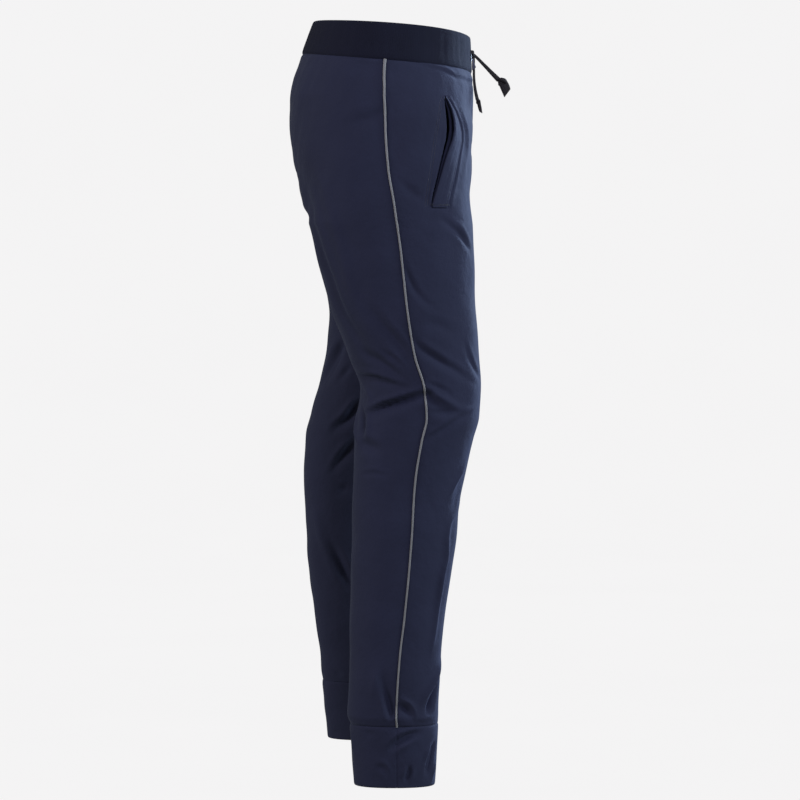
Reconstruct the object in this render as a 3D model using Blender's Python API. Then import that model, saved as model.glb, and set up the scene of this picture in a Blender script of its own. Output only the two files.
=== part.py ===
"""Pull-on trousers in soft cloth, worn and walking: elastic waistband, knotted drawcord, welt pockets,
a corded edge in each side seam, and a cuff at each ankle.

Every cloth piece is a wall with a true outer and inner face. The trousers' front faces -Y and the
wearer's left is +X. The origin is the middle of the waist, at half the waistband's height at the side.
Sizes are in millimetres, and points become metres when a mesh is made.

A place on the cloth is (side, z, t): t runs round one half, 0 at the middle front, 0.5 at the side and
1 at the middle back. Below the crotch it runs round that leg, and 0 and 1 meet at the inseam.
"""

import math

import bmesh
import bpy
import numpy as np

MM = 0.001

# Driving dimensions
BAND_HEIGHT = 50.0
CROTCH_Z = -240.0
FORK_TOP_Z = -150.0  # where the middle seams start to turn under the body
CROTCH_Y = 5.0
CUFF_SEAM_Z = {"right": -913.0, "left": -878.0}  # the left leg trails, with its heel lifted
HEM_Z = {"right": -996.0, "left": -960.0}
CLOTH = 2.0
BAND_CLOTH = 3.0
CUFF_CLOTH = 2.6
BAG_CLOTH = 1.1
WELT_CLOTH = 2.2
SEAM_GAP = 0.3
LAY_GAP = 0.35  # between a panel and what lies on it
ARCH_DEPTH = 26.0  # how far below the crotch the legs reach their full distance
FOLD_FADE = 22.0  # folds run out this far from a waist or cuff seam
PIPING_WIDTH, PIPING_HEIGHT, PIPING_GAP = 3.6, 2.2, 0.5
POCKET_TOP = {"y": -78.0, "z": -72.0}
POCKET_FOOT = {"y": -59.0, "z": -218.0}
POCKET_SLIT = 3.0
WELT_GAPE = 5.5
BAG_BELLY = 6.0
EYELET = {"outer": 5.5, "inner": 3.1, "thick": 1.1}
CORD_DIAMETER = 5.0

FRONT_COLUMNS, BACK_COLUMNS = 10, 11
SLIT_COLUMN = 7

# The torso, row by row: height at the side seam, half the width, how far the front and back stand from
# the origin, how square the section is there, and how far its middle front and back stand off that height.
TORSO = {
    "z": (25, 0, -25, -36, -55, -80, -110, -140, -170, -200, -240),
    "half_width": (148, 153, 158, 161, 167, 172, 176, 178, 180, 181, 181),
    "front": (110, 111, 112, 114.5, 112.5, 112.5, 112, 112, 112.5, 112.5, 112.5),
    "back": (105, 113, 121, 125, 133, 138, 137.5, 134, 129, 122, 111),
    "front_square": (2.1, 2.1, 2.2, 2.3, 2.5, 2.75, 3.0, 3.1, 3.1, 3.0, 3.0),
    "back_square": (2.1, 2.1, 2.15, 2.2, 2.25, 2.35, 2.45, 2.55, 2.6, 2.7, 2.8),
    "front_lift": (-12, -9, -6, -5.5, -5, -4, -2, 0, 0, 0, 0),
    "back_lift": (17, 18.5, 20, 18.5, 15, 11, 6, 2, 0, 0, 0),
}
# The legs, row by row: height, distance of the inner and outer face from the middle plane, and where
# the front and back outline are.
LEGS = {
    "right": {
        "z": (-240, -300, -360, -420, -463, -500, -530, -600, -700, -800, -870, -900, -913, -955, -996),
        "inner": (8, 12, 17, 22, 25, 28, 30, 36, 42, 48, 52, 53, 57, 61, 64),
        "outer": (181, 180, 178, 175, 172, 170, 169, 166, 162, 157, 155, 155, 147, 144, 142),
        "front": (-112, -114, -116, -119, -121, -118, -111, -96, -84, -71, -66, -67, -64, -62, -60),
        "back": (110, 94, 77, 55, 39, 43, 48, 50, 52, 54, 56, 57, 52, 50, 48),
    },
    "left": {
        "z": (-240, -300, -360, -420, -463, -500, -530, -600, -700, -800, -835, -866, -878, -920, -960),
        "inner": (8, 12, 17, 22, 25, 28, 30, 36, 42, 48, 51, 53, 57, 61, 64),
        "outer": (181, 180, 178, 175, 172, 170, 169, 166, 162, 157, 155, 155, 147, 144, 142),
        "front": (-112, -108, -98, -82, -62, -46, -36, -22, -14, -16, -22, -24, -20, -20, -20),
        "back": (110, 97, 86, 91, 101, 112, 119, 121.5, 117, 105, 100, 98, 95, 91, 88),
    },
}
LEG_SQUARE = 2.2
# Where the side seam runs, as a share of the depth from the front outline to the back one.
SIDE_SEAM = {
    "z": (25, -25, -130, -260, -340, -420, -463, -510, -700, -810, -913),
    "share": (0.50, 0.50, 0.466, 0.456, 0.452, 0.471, 0.468, 0.438, 0.43, 0.43, 0.455),
}
# How much of a leg or of half the torso one turn of t measures.
GIRTH = {"z": (0, -240, -463, -700, -900), "round": (800, 620, 480, 410, 370)}

# A panel's rows, from the waist seam down: where each zone ends and how many rows it has.
ROW_ZONES = ((POCKET_TOP["z"], 2), (POCKET_FOOT["z"], 9), (CROTCH_Z, 2), (-256, 2), (-330, 4), (-560, 15))
SHIN_ROWS, BLOUSE_ROWS, BLOUSE_HEIGHT = 12, 3, 44.0

# The largest folds, each a line on the cloth: where it starts and ends, its half width, and how deep the
# cloth is pressed in along it. A negative depth is a ridge.
FOLD_COLUMNS = ("leg", "t_start", "z_start", "t_end", "z_end", "half_width", "depth")
FOLDS = (
    ("right", 0.685, -270, 0.575, -438, 14, 6),  # back of the thigh, down to the side seam
    ("right", 0.680, -205, 0.545, -430, 14, -4),
    ("right", 0.600, -342, 0.503, -430, 13, 4),
    ("right", 0.493, -390, 0.320, -456, 13, 8),  # front of the thigh, down to the knee
    ("right", 0.480, -318, 0.400, -360, 12, 4),
    ("right", 0.386, -232, 0.265, -288, 14, 5),  # the groin
    ("right", 0.668, -434, 0.535, -459, 11, 4),
    ("right", 0.680, -492, 0.485, -470, 12, 9),  # the hollow of the knee
    ("right", 0.708, -482, 0.662, -530, 11, 4),
    ("right", 0.470, -488, 0.360, -492, 11, 4),
    ("right", 0.460, -516, 0.330, -487, 13, -3.5),
    ("right", 0.710, -535, 0.585, -547, 12, 4),
    ("right", 0.300, -560, 0.358, -612, 13, -3.5),  # the shin
    ("right", 0.330, -632, 0.350, -750, 15, -3),
    ("right", 0.530, -832, 0.566, -880, 12, 4),  # cloth that piles up on the cuff
    ("right", 0.270, -852, 0.358, -902, 12, 6),
    ("right", 0.120, -470, -0.050, -480, 14, 4),  # inside of the knee
    ("right", 0.080, -300, 0.200, -420, 16, 4),
    ("left", 0.868, -396, 0.778, -465, 13, 6),  # back of the thigh, down to the knee
    ("left", 0.914, -433, 0.868, -464, 12, 4),
    ("left", 0.966, -487, 0.895, -532, 12, 8),  # the hollow of the knee
    ("left", 0.984, -541, 0.902, -589, 12, 5),
    ("left", 0.918, -680, 0.978, -731, 14, 5),  # the calf
    ("left", 0.850, -628, 0.918, -718, 13, -4),
    ("left", 0.560, -446, 0.330, -420, 14, 6),
    ("left", 0.480, -380, 0.290, -330, 15, 5),
    ("left", 0.700, -500, 0.520, -530, 14, 5),
    ("left", 0.300, -560, 0.400, -680, 15, 4),
    ("left", 0.300, -832, 0.400, -872, 12, 5),
    ("left", 0.640, -838, 0.520, -872, 12, 5),
    ("left", 0.120, -460, -0.050, -500, 14, 4),
)

# Each material's colour, roughness and metallic value
FINISHES = {
    "cloth": ((0.020, 0.023, 0.050), 0.62, 0.0),
    "band": ((0.012, 0.014, 0.030), 0.8, 0.0),
    "piping": ((0.22, 0.22, 0.26), 0.45, 0.2),
    "bag": ((0.015, 0.017, 0.035), 0.85, 0.0),
    "cord": ((0.012, 0.010, 0.012), 0.8, 0.0),
    "eyelet": ((0.03, 0.03, 0.035), 0.35, 0.9),
}


# ---------------------------------------------------------------- the body's form


def curve(table, column, z):
    """A column's value at each height, on a smooth curve that never overshoots the rows beside it."""
    down = -np.array(table["z"], float)
    values = np.array(table[column], float)
    steps = np.diff(down)
    slopes = np.diff(values) / steps
    both = slopes[:-1] * slopes[1:]
    total = slopes[:-1] + slopes[1:]
    middle = np.where(both > 0, 2 * both / np.where(total == 0, 1.0, total), 0.0)
    tangents = np.concatenate((slopes[:1], middle, slopes[-1:]))
    at = np.clip(-np.asarray(z, float), down[0], down[-1])
    row = np.clip(np.searchsorted(down, at, side="right") - 1, 0, len(steps) - 1)
    u = (at - down[row]) / steps[row]
    start = values[row] * (1 + 2 * u) + steps[row] * tangents[row] * u
    end = values[row + 1] * (3 - 2 * u) - steps[row] * tangents[row + 1] * (1 - u)
    return start * (1 - u) ** 2 + end * u**2


def ease(share):
    """0 to 1 with no corner at either end."""
    share = np.clip(share, 0.0, 1.0)
    return share * share * (3 - 2 * share)


def reach(across, along, half_width, half_depth, square):
    """How far a rounded rectangle's edge is from its middle, in the direction (across, along)."""
    return (np.abs(across / half_width) ** square + np.abs(along / half_depth) ** square) ** (-1 / square)


def torso_outline(z, t):
    """(out, y) round half the torso."""
    across, along = np.sin(np.pi * t), -np.cos(np.pi * t)
    behind = along > 0
    depth = np.where(behind, curve(TORSO, "back", z), curve(TORSO, "front", z))
    square = np.where(behind, curve(TORSO, "back_square", z), curve(TORSO, "front_square", z))
    far = reach(across, along, curve(TORSO, "half_width", z), depth, square)
    return far * across, far * along


def leg_outline(side, z, t):
    """(out, y) round a leg. Both legs meet in one point at the crotch, and part in an arch below it."""
    leg = LEGS[side]
    parted = np.clip((CROTCH_Z - z) / ARCH_DEPTH, 0.0, 1.0)
    inner = curve(leg, "inner", z) * np.sqrt(1 - (1 - parted) ** 2)
    outer, front, back = curve(leg, "outer", z), curve(leg, "front", z), curve(leg, "back", z)
    inward, along = np.cos(2 * np.pi * t), -np.sin(2 * np.pi * t)
    far = reach(inward, along, (outer - inner) / 2, (back - front) / 2, LEG_SQUARE)
    middle = (front + back) / 2
    middle = middle + (CROTCH_Y - middle) * (1 - parted) * np.maximum(inward, 0.0) ** 4
    return (inner + outer) / 2 - far * inward, middle + far * along


def fork(z):
    """How far the section has turned from the torso's into the leg's, and how far its middle seam drops."""
    turn = np.clip((FORK_TOP_Z - z) / (FORK_TOP_Z - CROTCH_Z), 0.0, 1.0)
    return 1 - np.cos(turn * np.pi / 2), (FORK_TOP_Z - CROTCH_Z) * (turn - np.sin(turn * np.pi / 2))


def lift(z, t):
    """How far a torso row stands above its height at the side."""
    along = -np.cos(np.pi * t)
    front, back = curve(TORSO, "front_lift", z), curve(TORSO, "back_lift", z)
    return (back - front) / 2 * along + (back + front) / 2 * along**2


def bare(side, z, t):
    """The outer face with no folds, as (out, y, z) in the last axis. Out is x on the left half."""
    z, t = np.broadcast_arrays(np.asarray(z, float), np.asarray(t, float))
    turned, drop = fork(z)
    out, y = torso_outline(z, t)
    leg_out, leg_y = leg_outline(side, np.minimum(z, CROTCH_Z), t)
    near_seam = ease(1 - np.minimum(t, 1 - t) / 0.2)
    height = z + lift(z, t) + drop * near_seam
    return np.stack((out + (leg_out - out) * turned, y + (leg_y - y) * turned, height), axis=-1)


def unit(vectors):
    return vectors / np.linalg.norm(vectors, axis=-1, keepdims=True)


def outward(surface, side, z, t, step_t=0.006, step_z=3.0):
    """A surface's normal. At a middle seam it stays in the middle plane, and at an end row it is level."""
    z, t = np.broadcast_arrays(np.asarray(z, float), np.asarray(t, float))
    on_leg = z < CROTCH_Z - 0.01
    before = np.where(on_leg, t - step_t, np.maximum(t - step_t, 0.0))
    after = np.where(on_leg, t + step_t, np.minimum(t + step_t, 1.0))
    around = surface(side, z, after) - surface(side, z, before)
    down = surface(side, z - step_z, t) - surface(side, z + step_z, t)
    normal = np.cross(down, around)
    at_middle = ~on_leg & (np.minimum(t, 1 - t) < step_t)
    normal[..., 0] = np.where(at_middle, 0.0, normal[..., 0])
    at_end = (z > -BAND_HEIGHT / 2 - 1) | (z < CUFF_SEAM_Z[side] + 1)
    normal[..., 2] = np.where(at_end, 0.0, normal[..., 2])
    return unit(normal)


def fold_depth(side, z, t):
    """How deep the folds press the cloth in."""
    depth = np.zeros(z.shape)
    for values in FOLDS:
        fold = dict(zip(FOLD_COLUMNS, values))
        if fold["leg"] != side:
            continue
        run_z = fold["z_end"] - fold["z_start"]
        around = curve(GIRTH, "round", fold["z_start"] + run_z / 2)
        run = (fold["t_end"] - fold["t_start"]) * around
        here = t - np.round(t - (fold["t_start"] + fold["t_end"]) / 2)
        over, down = (here - fold["t_start"]) * around, z - fold["z_start"]
        length = math.hypot(run, run_z)
        share = (over * run + down * run_z) / length**2
        away = (run * down - run_z * over) / length / fold["half_width"]
        strength = np.maximum(0.0, 1 - np.abs(2 * share - 1) / 1.3) ** 0.7
        shoulders = 0.4 * np.exp(-((np.abs(away) - 1.7) ** 2) / 0.6)
        depth += fold["depth"] * strength * (np.exp(-(away**2)) - shoulders)
    to_waist, to_cuff = -BAND_HEIGHT / 2 - z, z - CUFF_SEAM_Z[side]
    depth *= ease(to_waist / FOLD_FADE) * ease(to_cuff / FOLD_FADE)
    return depth * np.where(z < CROTCH_Z, 1.0, ease(np.minimum(t, 1 - t) / 0.08))


def face(side, z, t):
    """The outer face, folds and all."""
    z, t = np.broadcast_arrays(np.asarray(z, float), np.asarray(t, float))
    return bare(side, z, t) - fold_depth(side, z, t)[..., None] * outward(bare, side, z, t)


# ---------------------------------------------------------------- seams on the form


def t_at_y(side, z, y, low, high):
    """The t between low and high where the outer face has this y."""
    low, high = np.full(np.shape(z), low), np.full(np.shape(z), high)
    for _ in range(30):
        middle = (low + high) / 2
        ahead = bare(side, z, middle)[..., 1] < y
        low, high = np.where(ahead, middle, low), np.where(ahead, high, middle)
    return (low + high) / 2


def side_seam_t(side, z):
    leg = LEGS[side]
    front = np.where(z > CROTCH_Z, -curve(TORSO, "front", z), curve(leg, "front", z))
    back = np.where(z > CROTCH_Z, curve(TORSO, "back", z), curve(leg, "back", z))
    return t_at_y(side, z, front + (back - front) * curve(SIDE_SEAM, "share", z), 0.3, 0.7)


def pocket_t(side, z):
    share = (POCKET_TOP["z"] - z) / (POCKET_TOP["z"] - POCKET_FOOT["z"])
    return t_at_y(side, z, POCKET_TOP["y"] + (POCKET_FOOT["y"] - POCKET_TOP["y"]) * share, 0.1, 0.5)


def edge_shift(z):
    """How far in t a panel's edge stays back from its seam."""
    return SEAM_GAP / 2 / curve(GIRTH, "round", z)


def front_t(side, z, share):
    """t on the front panel, from the middle or inner edge at share 0 to the side seam at share 1."""
    start = edge_shift(z) * fork(z)[0]
    end = side_seam_t(side, z) - edge_shift(z)
    slit = SLIT_COLUMN / FRONT_COLUMNS
    mouth_z = np.clip(z, POCKET_FOOT["z"], POCKET_TOP["z"])
    near = ease(1 - np.abs(z - mouth_z) / 90.0)
    bent = slit + ((pocket_t(side, mouth_z) - start) / (end - start) - slit) * near
    before, after = share * bent / slit, 1 - (1 - share) * (1 - bent) / (1 - slit)
    return start + (end - start) * np.where(share <= slit, before, after)


def back_t(side, z, share):
    """t on the back panel, from the side seam at share 0 to the middle or inner edge at share 1."""
    start = side_seam_t(side, z) + edge_shift(z)
    end = 1 - edge_shift(z) * fork(z)[0]
    return start + (end - start) * share


def row_heights(side):
    """The heights of a panel's rows, from the waist seam to the cuff seam."""
    foot = CUFF_SEAM_Z[side] + SEAM_GAP / 2
    heights = [-BAND_HEIGHT / 2 - SEAM_GAP / 2]
    for foot_z, count in ROW_ZONES + ((foot + BLOUSE_HEIGHT, SHIN_ROWS), (foot, BLOUSE_ROWS)):
        heights.extend(np.linspace(heights[-1], foot_z, count + 1)[1:])
    return np.array(heights)


def half_gap(points):
    """A half's points, moved off the middle plane by half a seam gap."""
    return points + np.array([SEAM_GAP / 2, 0.0, 0.0])


def column_turns(side, z):
    """The t of every column of a half's front and back panel at one height, from middle to middle."""
    front, back = np.arange(FRONT_COLUMNS) / FRONT_COLUMNS, np.arange(BACK_COLUMNS + 1) / BACK_COLUMNS
    turns = front_t(side, np.full(front.shape, z), front), back_t(side, np.full(back.shape, z), back)
    return np.concatenate(turns)


# ---------------------------------------------------------------- making meshes


def material_for(name):
    material = bpy.data.materials.get(name)
    if material:
        return material
    colour, roughness, metallic = FINISHES[name]
    material = bpy.data.materials.new(name)
    material.use_nodes = True
    shader = material.node_tree.nodes["Principled BSDF"]
    shader.inputs["Base Color"].default_value = (*colour, 1.0)
    shader.inputs["Roughness"].default_value = roughness
    shader.inputs["Metallic"].default_value = metallic
    return material


def finish(name, made, material):
    """An object of this bmesh, its faces pointing out, shaded smooth."""
    bmesh.ops.recalc_face_normals(made, faces=made.faces)
    mesh = bpy.data.meshes.new(name)
    made.to_mesh(mesh)
    made.free()
    mesh.materials.append(material_for(material))
    mesh.shade_smooth()
    mesh.set_sharp_from_angle(angle=math.radians(50))
    thing = bpy.data.objects.new(name, mesh)
    bpy.context.scene.collection.objects.link(thing)
    return thing


def add_points(made, points, side):
    """The points' vertices. The right half is the left one's mirror image."""
    across = 1 if side == "left" else -1
    return [made.verts.new((across * x * MM, y * MM, z * MM)) for x, y, z in points]


def wall(name, side, outer, inner, material, closed=False, slit=None):
    """A closed wall between two grids of points, which runs right round where it is closed. A slit is
    (column, first row, how far its lips stand apart on each row from there), and starts and ends shut."""
    rows, columns = outer.shape[:2]
    spans = columns if closed else columns - 1
    made = bmesh.new()
    leaves = []
    for grid in (outer, inner):
        before = [add_points(made, row, side) for row in grid]
        after = [list(row) for row in before]
        if slit:
            column, first, lips = slit
            for i in range(first + 1, first + len(lips) - 1):
                apart = unit(grid[i, column + 1] - grid[i, column - 1]) * lips[i - first] / 2
                across = 1 if side == "left" else -1
                near = grid[i, column] - apart
                before[i][column].co = (across * near[0] * MM, near[1] * MM, near[2] * MM)
                after[i][column] = add_points(made, [grid[i, column] + apart], side)[0]
        for i in range(rows - 1):
            for k in range(spans):
                a, b = (after, before) if slit and k == slit[0] else (before, before)
                beside = (k + 1) % columns
                made.faces.new((a[i][k], a[i + 1][k], b[i + 1][beside], b[i][beside]))
        leaves.append((before, after))
    (outer_before, outer_after), (inner_before, inner_after) = leaves
    for i in (0, rows - 1):
        for k in range(spans):
            beside = (k + 1) % columns
            o, n = outer_before[i], inner_before[i]
            made.faces.new((o[k], o[beside], n[beside], n[k]))
    rims = [] if closed else [(outer_before, inner_before, k, range(rows - 1)) for k in (0, columns - 1)]
    if slit:
        column, first, lips = slit
        along = range(first, first + len(lips) - 1)
        rims += [(outer_before, inner_before, column, along), (outer_after, inner_after, column, along)]
    for o, n, k, along in rims:
        for i in along:
            made.faces.new((o[i][k], o[i + 1][k], n[i + 1][k], n[i][k]))
    return finish(name, made, material)


def sweep(name, side, loops, material):
    """A closed solid through loops of equal size, capped at both ends."""
    made = bmesh.new()
    rings = [add_points(made, loop, side) for loop in loops]
    for a, b in zip(rings, rings[1:]):
        for k in range(len(a)):
            beside = (k + 1) % len(a)
            made.faces.new((a[k], b[k], b[beside], a[beside]))
    made.faces.new(rings[0])
    made.faces.new(rings[-1])
    return finish(name, made, material)


# ---------------------------------------------------------------- panels, pockets and piping


def cloth_grid(side, columns, t_of):
    """A panel's outer points and their normals, row by row."""
    z = row_heights(side)[:, None]
    t = t_of(side, z, np.linspace(0.0, 1.0, columns + 1)[None, :])
    z = np.broadcast_to(z, t.shape)
    return half_gap(face(side, z, t)), outward(face, side, z, t)


def mouth_opening(share, widest=0.5):
    """0 at both ends of a pocket's mouth and 1 at its widest, where the share down it is as given."""
    return math.sin(math.pi * share ** (math.log(0.5) / math.log(widest)))


def front_panel(side):
    outer, normals = cloth_grid(side, FRONT_COLUMNS, front_t)
    heights = row_heights(side)
    first = int(np.argmin(np.abs(heights - POCKET_TOP["z"])))
    count = int(np.argmin(np.abs(heights - POCKET_FOOT["z"]))) - first
    lips = [POCKET_SLIT * mouth_opening(k / count) for k in range(count + 1)]
    slit = (SLIT_COLUMN, first, lips)
    wall(f"front_{side}", side, outer, outer - CLOTH * normals, "cloth", slit=slit)
    pocket_bag(side, outer, normals, first, count)
    pocket_welt(side, outer, normals, first, count)
    return outer


def back_panel(side):
    outer, normals = cloth_grid(side, BACK_COLUMNS, back_t)
    wall(f"back_{side}", side, outer, outer - CLOTH * normals, "cloth")
    return outer


def pocket_bag(side, outer, normals, first, count):
    """The pocket's one ply, sewn round its edge to the inside of the front panel."""
    rows = slice(first - 1, first + count + 6)
    columns = slice(SLIT_COLUMN - 3, SLIT_COLUMN + 3)
    points, normal = outer[rows, columns], normals[rows, columns]
    down = np.linspace(0.0, np.pi, points.shape[0])[:, None]
    across = np.linspace(0.0, np.pi, points.shape[1])[None, :]
    belly = BAG_BELLY * (np.abs(np.sin(down) * np.sin(across)) ** 0.7)[..., None]
    near = points - (CLOTH + LAY_GAP + belly) * normal
    wall(f"pocket_bag_{side}", side, near, near - BAG_CLOTH * normal, "bag")


def pocket_welt(side, outer, normals, first, count):
    """The folded strip that is sewn down along its front edge and gapes at its free edge."""
    section = (  # share of the way to the next column, share of the strip's thickness, share of the gape
        (0.86, 0.0, 0.0),
        (0.45, 0.0, 0.3),
        (0.08, 0.0, 1.0),
        (0.06, 1.0, 1.0),
        (0.45, 1.0, 0.3),
        (0.82, 0.8, 0.0),
    )
    loops = []
    for i in range(first, first + count + 1):
        gape = WELT_GAPE * mouth_opening((i - first) / count, widest=0.38)
        mouth, ahead = outer[i, SLIT_COLUMN], outer[i, SLIT_COLUMN - 1]
        normal = unit(normals[i, SLIT_COLUMN] + normals[i, SLIT_COLUMN - 1])
        loops.append(
            [
                mouth + (ahead - mouth) * share + normal * (LAY_GAP + high * WELT_CLOTH + gaping * gape)
                for share, high, gaping in section
            ]
        )
    sweep(f"pocket_welt_{side}", side, loops, "cloth")


def piping(side, front, back):
    """The corded edge that stands on the side seam, with a foot on each panel."""
    section = ((-1.0, 0.0), (-1.0, 0.45), (-0.5, 1.0), (0.5, 1.0), (1.0, 0.45), (1.0, 0.0), (0.0, 0.0))
    loops = []
    for i in range(len(front)):
        seam = (front[i, -1] + back[i, 0]) / 2
        ahead, behind = unit(front[i, -2] - seam), unit(back[i, 1] - seam)
        along = front[max(i, 1), -1] - front[max(i, 1) - 1, -1]
        normal = np.cross(along, behind - ahead)
        if i in (0, len(front) - 1):
            normal[2] = 0.0
        normal = unit(normal)
        loop = []
        for across, high in section:
            foot = (ahead if across < 0 else behind) * abs(across) * PIPING_WIDTH / 2
            loop.append(seam + foot + normal * (PIPING_GAP + high * PIPING_HEIGHT))
        loops.append(loop)
    sweep(f"piping_{side}", side, loops, "piping")


# ---------------------------------------------------------------- waistband and cuffs


def band_ring(z):
    """The points round the waist at one level, from the middle front over the wearer's left."""
    left = bare("left", z, column_turns("left", -BAND_HEIGHT / 2 - SEAM_GAP))
    right = left[-2:0:-1] * np.array([-1.0, 1.0, 1.0])
    return np.concatenate((left, right))


def ring_wall(name, side, rings, thick, material):
    """A tube of cloth through rings of points: each level is (points, how far they stand out)."""
    outer, inner = [], []
    for points, stands_out in rings:
        around = np.roll(points, -1, axis=0) - np.roll(points, 1, axis=0)
        flat = unit(np.stack((around[:, 1], -around[:, 0], np.zeros(len(points))), axis=-1))
        outer.append(points + flat * stands_out)
        inner.append(points - flat * (thick + min(stands_out, 0.0)))
    return wall(name, side, np.array(outer), np.array(inner), material, closed=True)


BAND_LEVELS = {"z": (-24.85, -8.0, 12.0, 22.5, 25.0), "stands_out": (0.0, 0.6, 0.6, 0.0, -0.9)}


def waistband():
    rings = [(band_ring(z), out) for z, out in zip(BAND_LEVELS["z"], BAND_LEVELS["stands_out"])]
    ring_wall("waistband", "left", rings, BAND_CLOTH, "band")


def cuff(side):
    """The ankle band."""
    top, hem = CUFF_SEAM_Z[side] - SEAM_GAP / 2, HEM_Z[side]
    turns = column_turns(side, CUFF_SEAM_Z[side])[:-1]
    levels = [(z, 0.0) for z in np.linspace(top, hem + 1.5, 4)] + [(hem, -0.8)]
    rings = [(half_gap(bare(side, z, turns)), out) for z, out in levels]
    ring_wall(f"cuff_{side}", side, rings, CUFF_CLOTH, "cloth")


# ---------------------------------------------------------------- drawcord

# The drawcord's routes, from each eyelet to the knot and from the knot to each end
CORD_ROUTES = {
    "drawcord_tie_right": (
        (-26.4, -111.3, -3.5),
        (-25.6, -114.2, -3.5),
        (-22, -115.8, -3.9),
        (-7.15, -115.9, -5.5),
    ),
    "drawcord_tie_left": (
        (26.4, -111.3, -3.5),
        (25.6, -114.2, -3.5),
        (22, -115.8, -3.9),
        (7.15, -115.9, -5.5),
    ),
    "drawcord_right": (
        (-2, -119.8, -8),
        (-3.7, -125.5, -12),
        (-6, -133, -19.5),
        (-8.5, -141.5, -28.5),
        (-10.5, -149, -38),
    ),
    "drawcord_left": (
        (3.2, -116, -11),
        (5, -116.9, -22),
        (7, -118.3, -36),
        (9.2, -120.8, -52),
        (11, -123.6, -67),
    ),
}
END_KNOTS = {
    "cord_end_right": {"start": (-10.8, -149.5, -38.6), "end": (-13.5, -158.0, -63.5), "half_width": 8.0},
    "cord_end_left": {"start": (11.1, -123.8, -67.4), "end": (12.5, -128.0, -87.0), "half_width": 5.0},
}
KNOT = {"place": (0.0, -115.9, -5.5), "half_size": (7.0, 3.9, 5.0)}
LOOP = {"start": (-2.6, -115.4, -10.9), "end": (-3.5, -117.0, -28.5), "half_width": 4.2}
# Share of the way along, share of the half width
LOOP_PROFILE = ((0.0, 0.5), (0.3, 0.75), (0.7, 1.0), (0.95, 0.95), (1.0, 0.8))
END_PROFILE = ((0.0, 0.35), (0.12, 0.72), (0.32, 1.0), (0.5, 0.95), (0.7, 0.8), (0.88, 0.5), (1.0, 0.2))


def smooth_route(route, spacing):
    """Points along a smooth curve through a route, about this far apart."""
    places = np.array(route, float)
    ends = np.concatenate((2 * places[:1] - places[1:2], places, 2 * places[-1:] - places[-2:-1]))
    line = []
    for k in range(len(places) - 1):
        a, b, c, d = ends[k : k + 4]
        count = max(2, round(float(np.linalg.norm(c - b)) / spacing))
        square, cube = a - 2.5 * b + 2 * c - d / 2, 1.5 * (b - c) + (d - a) / 2
        for u in np.arange(count) / count:
            line.append(b + u * (c - a) / 2 + u**2 * square + u**3 * cube)
    return line + [places[-1]]


def cord(name):
    """A stretch of the drawcord, as a round tube."""
    points = smooth_route(CORD_ROUTES[name], 2 * CORD_DIAMETER)
    line = bpy.data.curves.new(name, "CURVE")
    line.dimensions = "3D"
    spline = line.splines.new("POLY")
    spline.points.add(len(points) - 1)
    for point, place in zip(spline.points, points):
        point.co = (*(place * MM), 1.0)
    line.bevel_depth = CORD_DIAMETER / 2 * MM
    line.bevel_resolution = 2
    line.use_fill_caps = True
    line.materials.append(material_for("cord"))
    thing = bpy.data.objects.new(name, line)
    bpy.context.scene.collection.objects.link(thing)
    return thing


def centre_knot():
    """The drawcord's knot, on the middle of the band."""
    made = bmesh.new()
    bmesh.ops.create_uvsphere(made, u_segments=14, v_segments=8, radius=1.0)
    for vert in made.verts:
        vert.co = (np.array(KNOT["place"]) + np.array(vert.co) * KNOT["half_size"]) * MM
    return finish("drawcord_knot", made, "cord")


def spindle(name, size, profile, flat):
    """A flattened solid along a line: the profile gives (share of the length, share of the half width)."""
    start, end = np.array(size["start"]), np.array(size["end"])
    along = unit(end - start)
    wide = unit(np.cross(along, (1.0, 0.3, 0.0)))
    thick = np.cross(along, wide)
    turns = [2 * math.pi * k / 10 for k in range(10)]
    loops = []
    for share, broad in profile:
        middle, half = start + (end - start) * share, size["half_width"] * broad
        loops.append([middle + wide * half * math.cos(a) + thick * half * flat * math.sin(a) for a in turns])
    return sweep(name, "left", loops, "cord")


def end_knot(name):
    """A stop knot in the cord's end, and the short tail below it."""
    spindle(name, END_KNOTS[name], END_PROFILE, flat=0.55)


def eyelet(side):
    """The flat ring on the band round the hole that the drawcord comes out of."""
    low, high = band_ring(BAND_LEVELS["z"][1]), band_ring(BAND_LEVELS["z"][2])
    middle = (low[1] * 0.3 + low[2] * 0.3 + high[1] * 0.7 + high[2] * 0.7) / 2
    outwards = unit(np.cross(low[2] - low[1], high[1] - low[1]))
    middle = middle + outwards * (BAND_LEVELS["stands_out"][1] + LAY_GAP)
    beside = unit(low[2] - low[1])
    above = np.cross(outwards, beside)
    section = (
        (EYELET["inner"], 0.0),
        (EYELET["outer"], 0.0),
        (EYELET["outer"] - 0.5, EYELET["thick"]),
        (EYELET["inner"] + 0.4, EYELET["thick"]),
    )
    made = bmesh.new()
    rings = []
    for k in range(14):
        turn = 2 * math.pi * k / 14
        spoke = beside * math.cos(turn) + above * math.sin(turn)
        rings.append(add_points(made, [middle + spoke * r + outwards * h for r, h in section], side))
    for k in range(14):
        a, b = rings[k], rings[(k + 1) % 14]
        for j in range(len(section)):
            beyond = (j + 1) % len(section)
            made.faces.new((a[j], a[beyond], b[beyond], b[j]))
    return finish(f"eyelet_{side}", made, "eyelet")


def main():
    for thing in list(bpy.data.objects):
        bpy.data.objects.remove(thing)
    waistband()
    for side in ("right", "left"):
        piping(side, front_panel(side), back_panel(side))
        cuff(side)
        eyelet(side)
    for name in CORD_ROUTES:
        cord(name)
    centre_knot()
    spindle("drawcord_loop", LOOP, LOOP_PROFILE, flat=0.5)
    for name in END_KNOTS:
        end_knot(name)


main()
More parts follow.
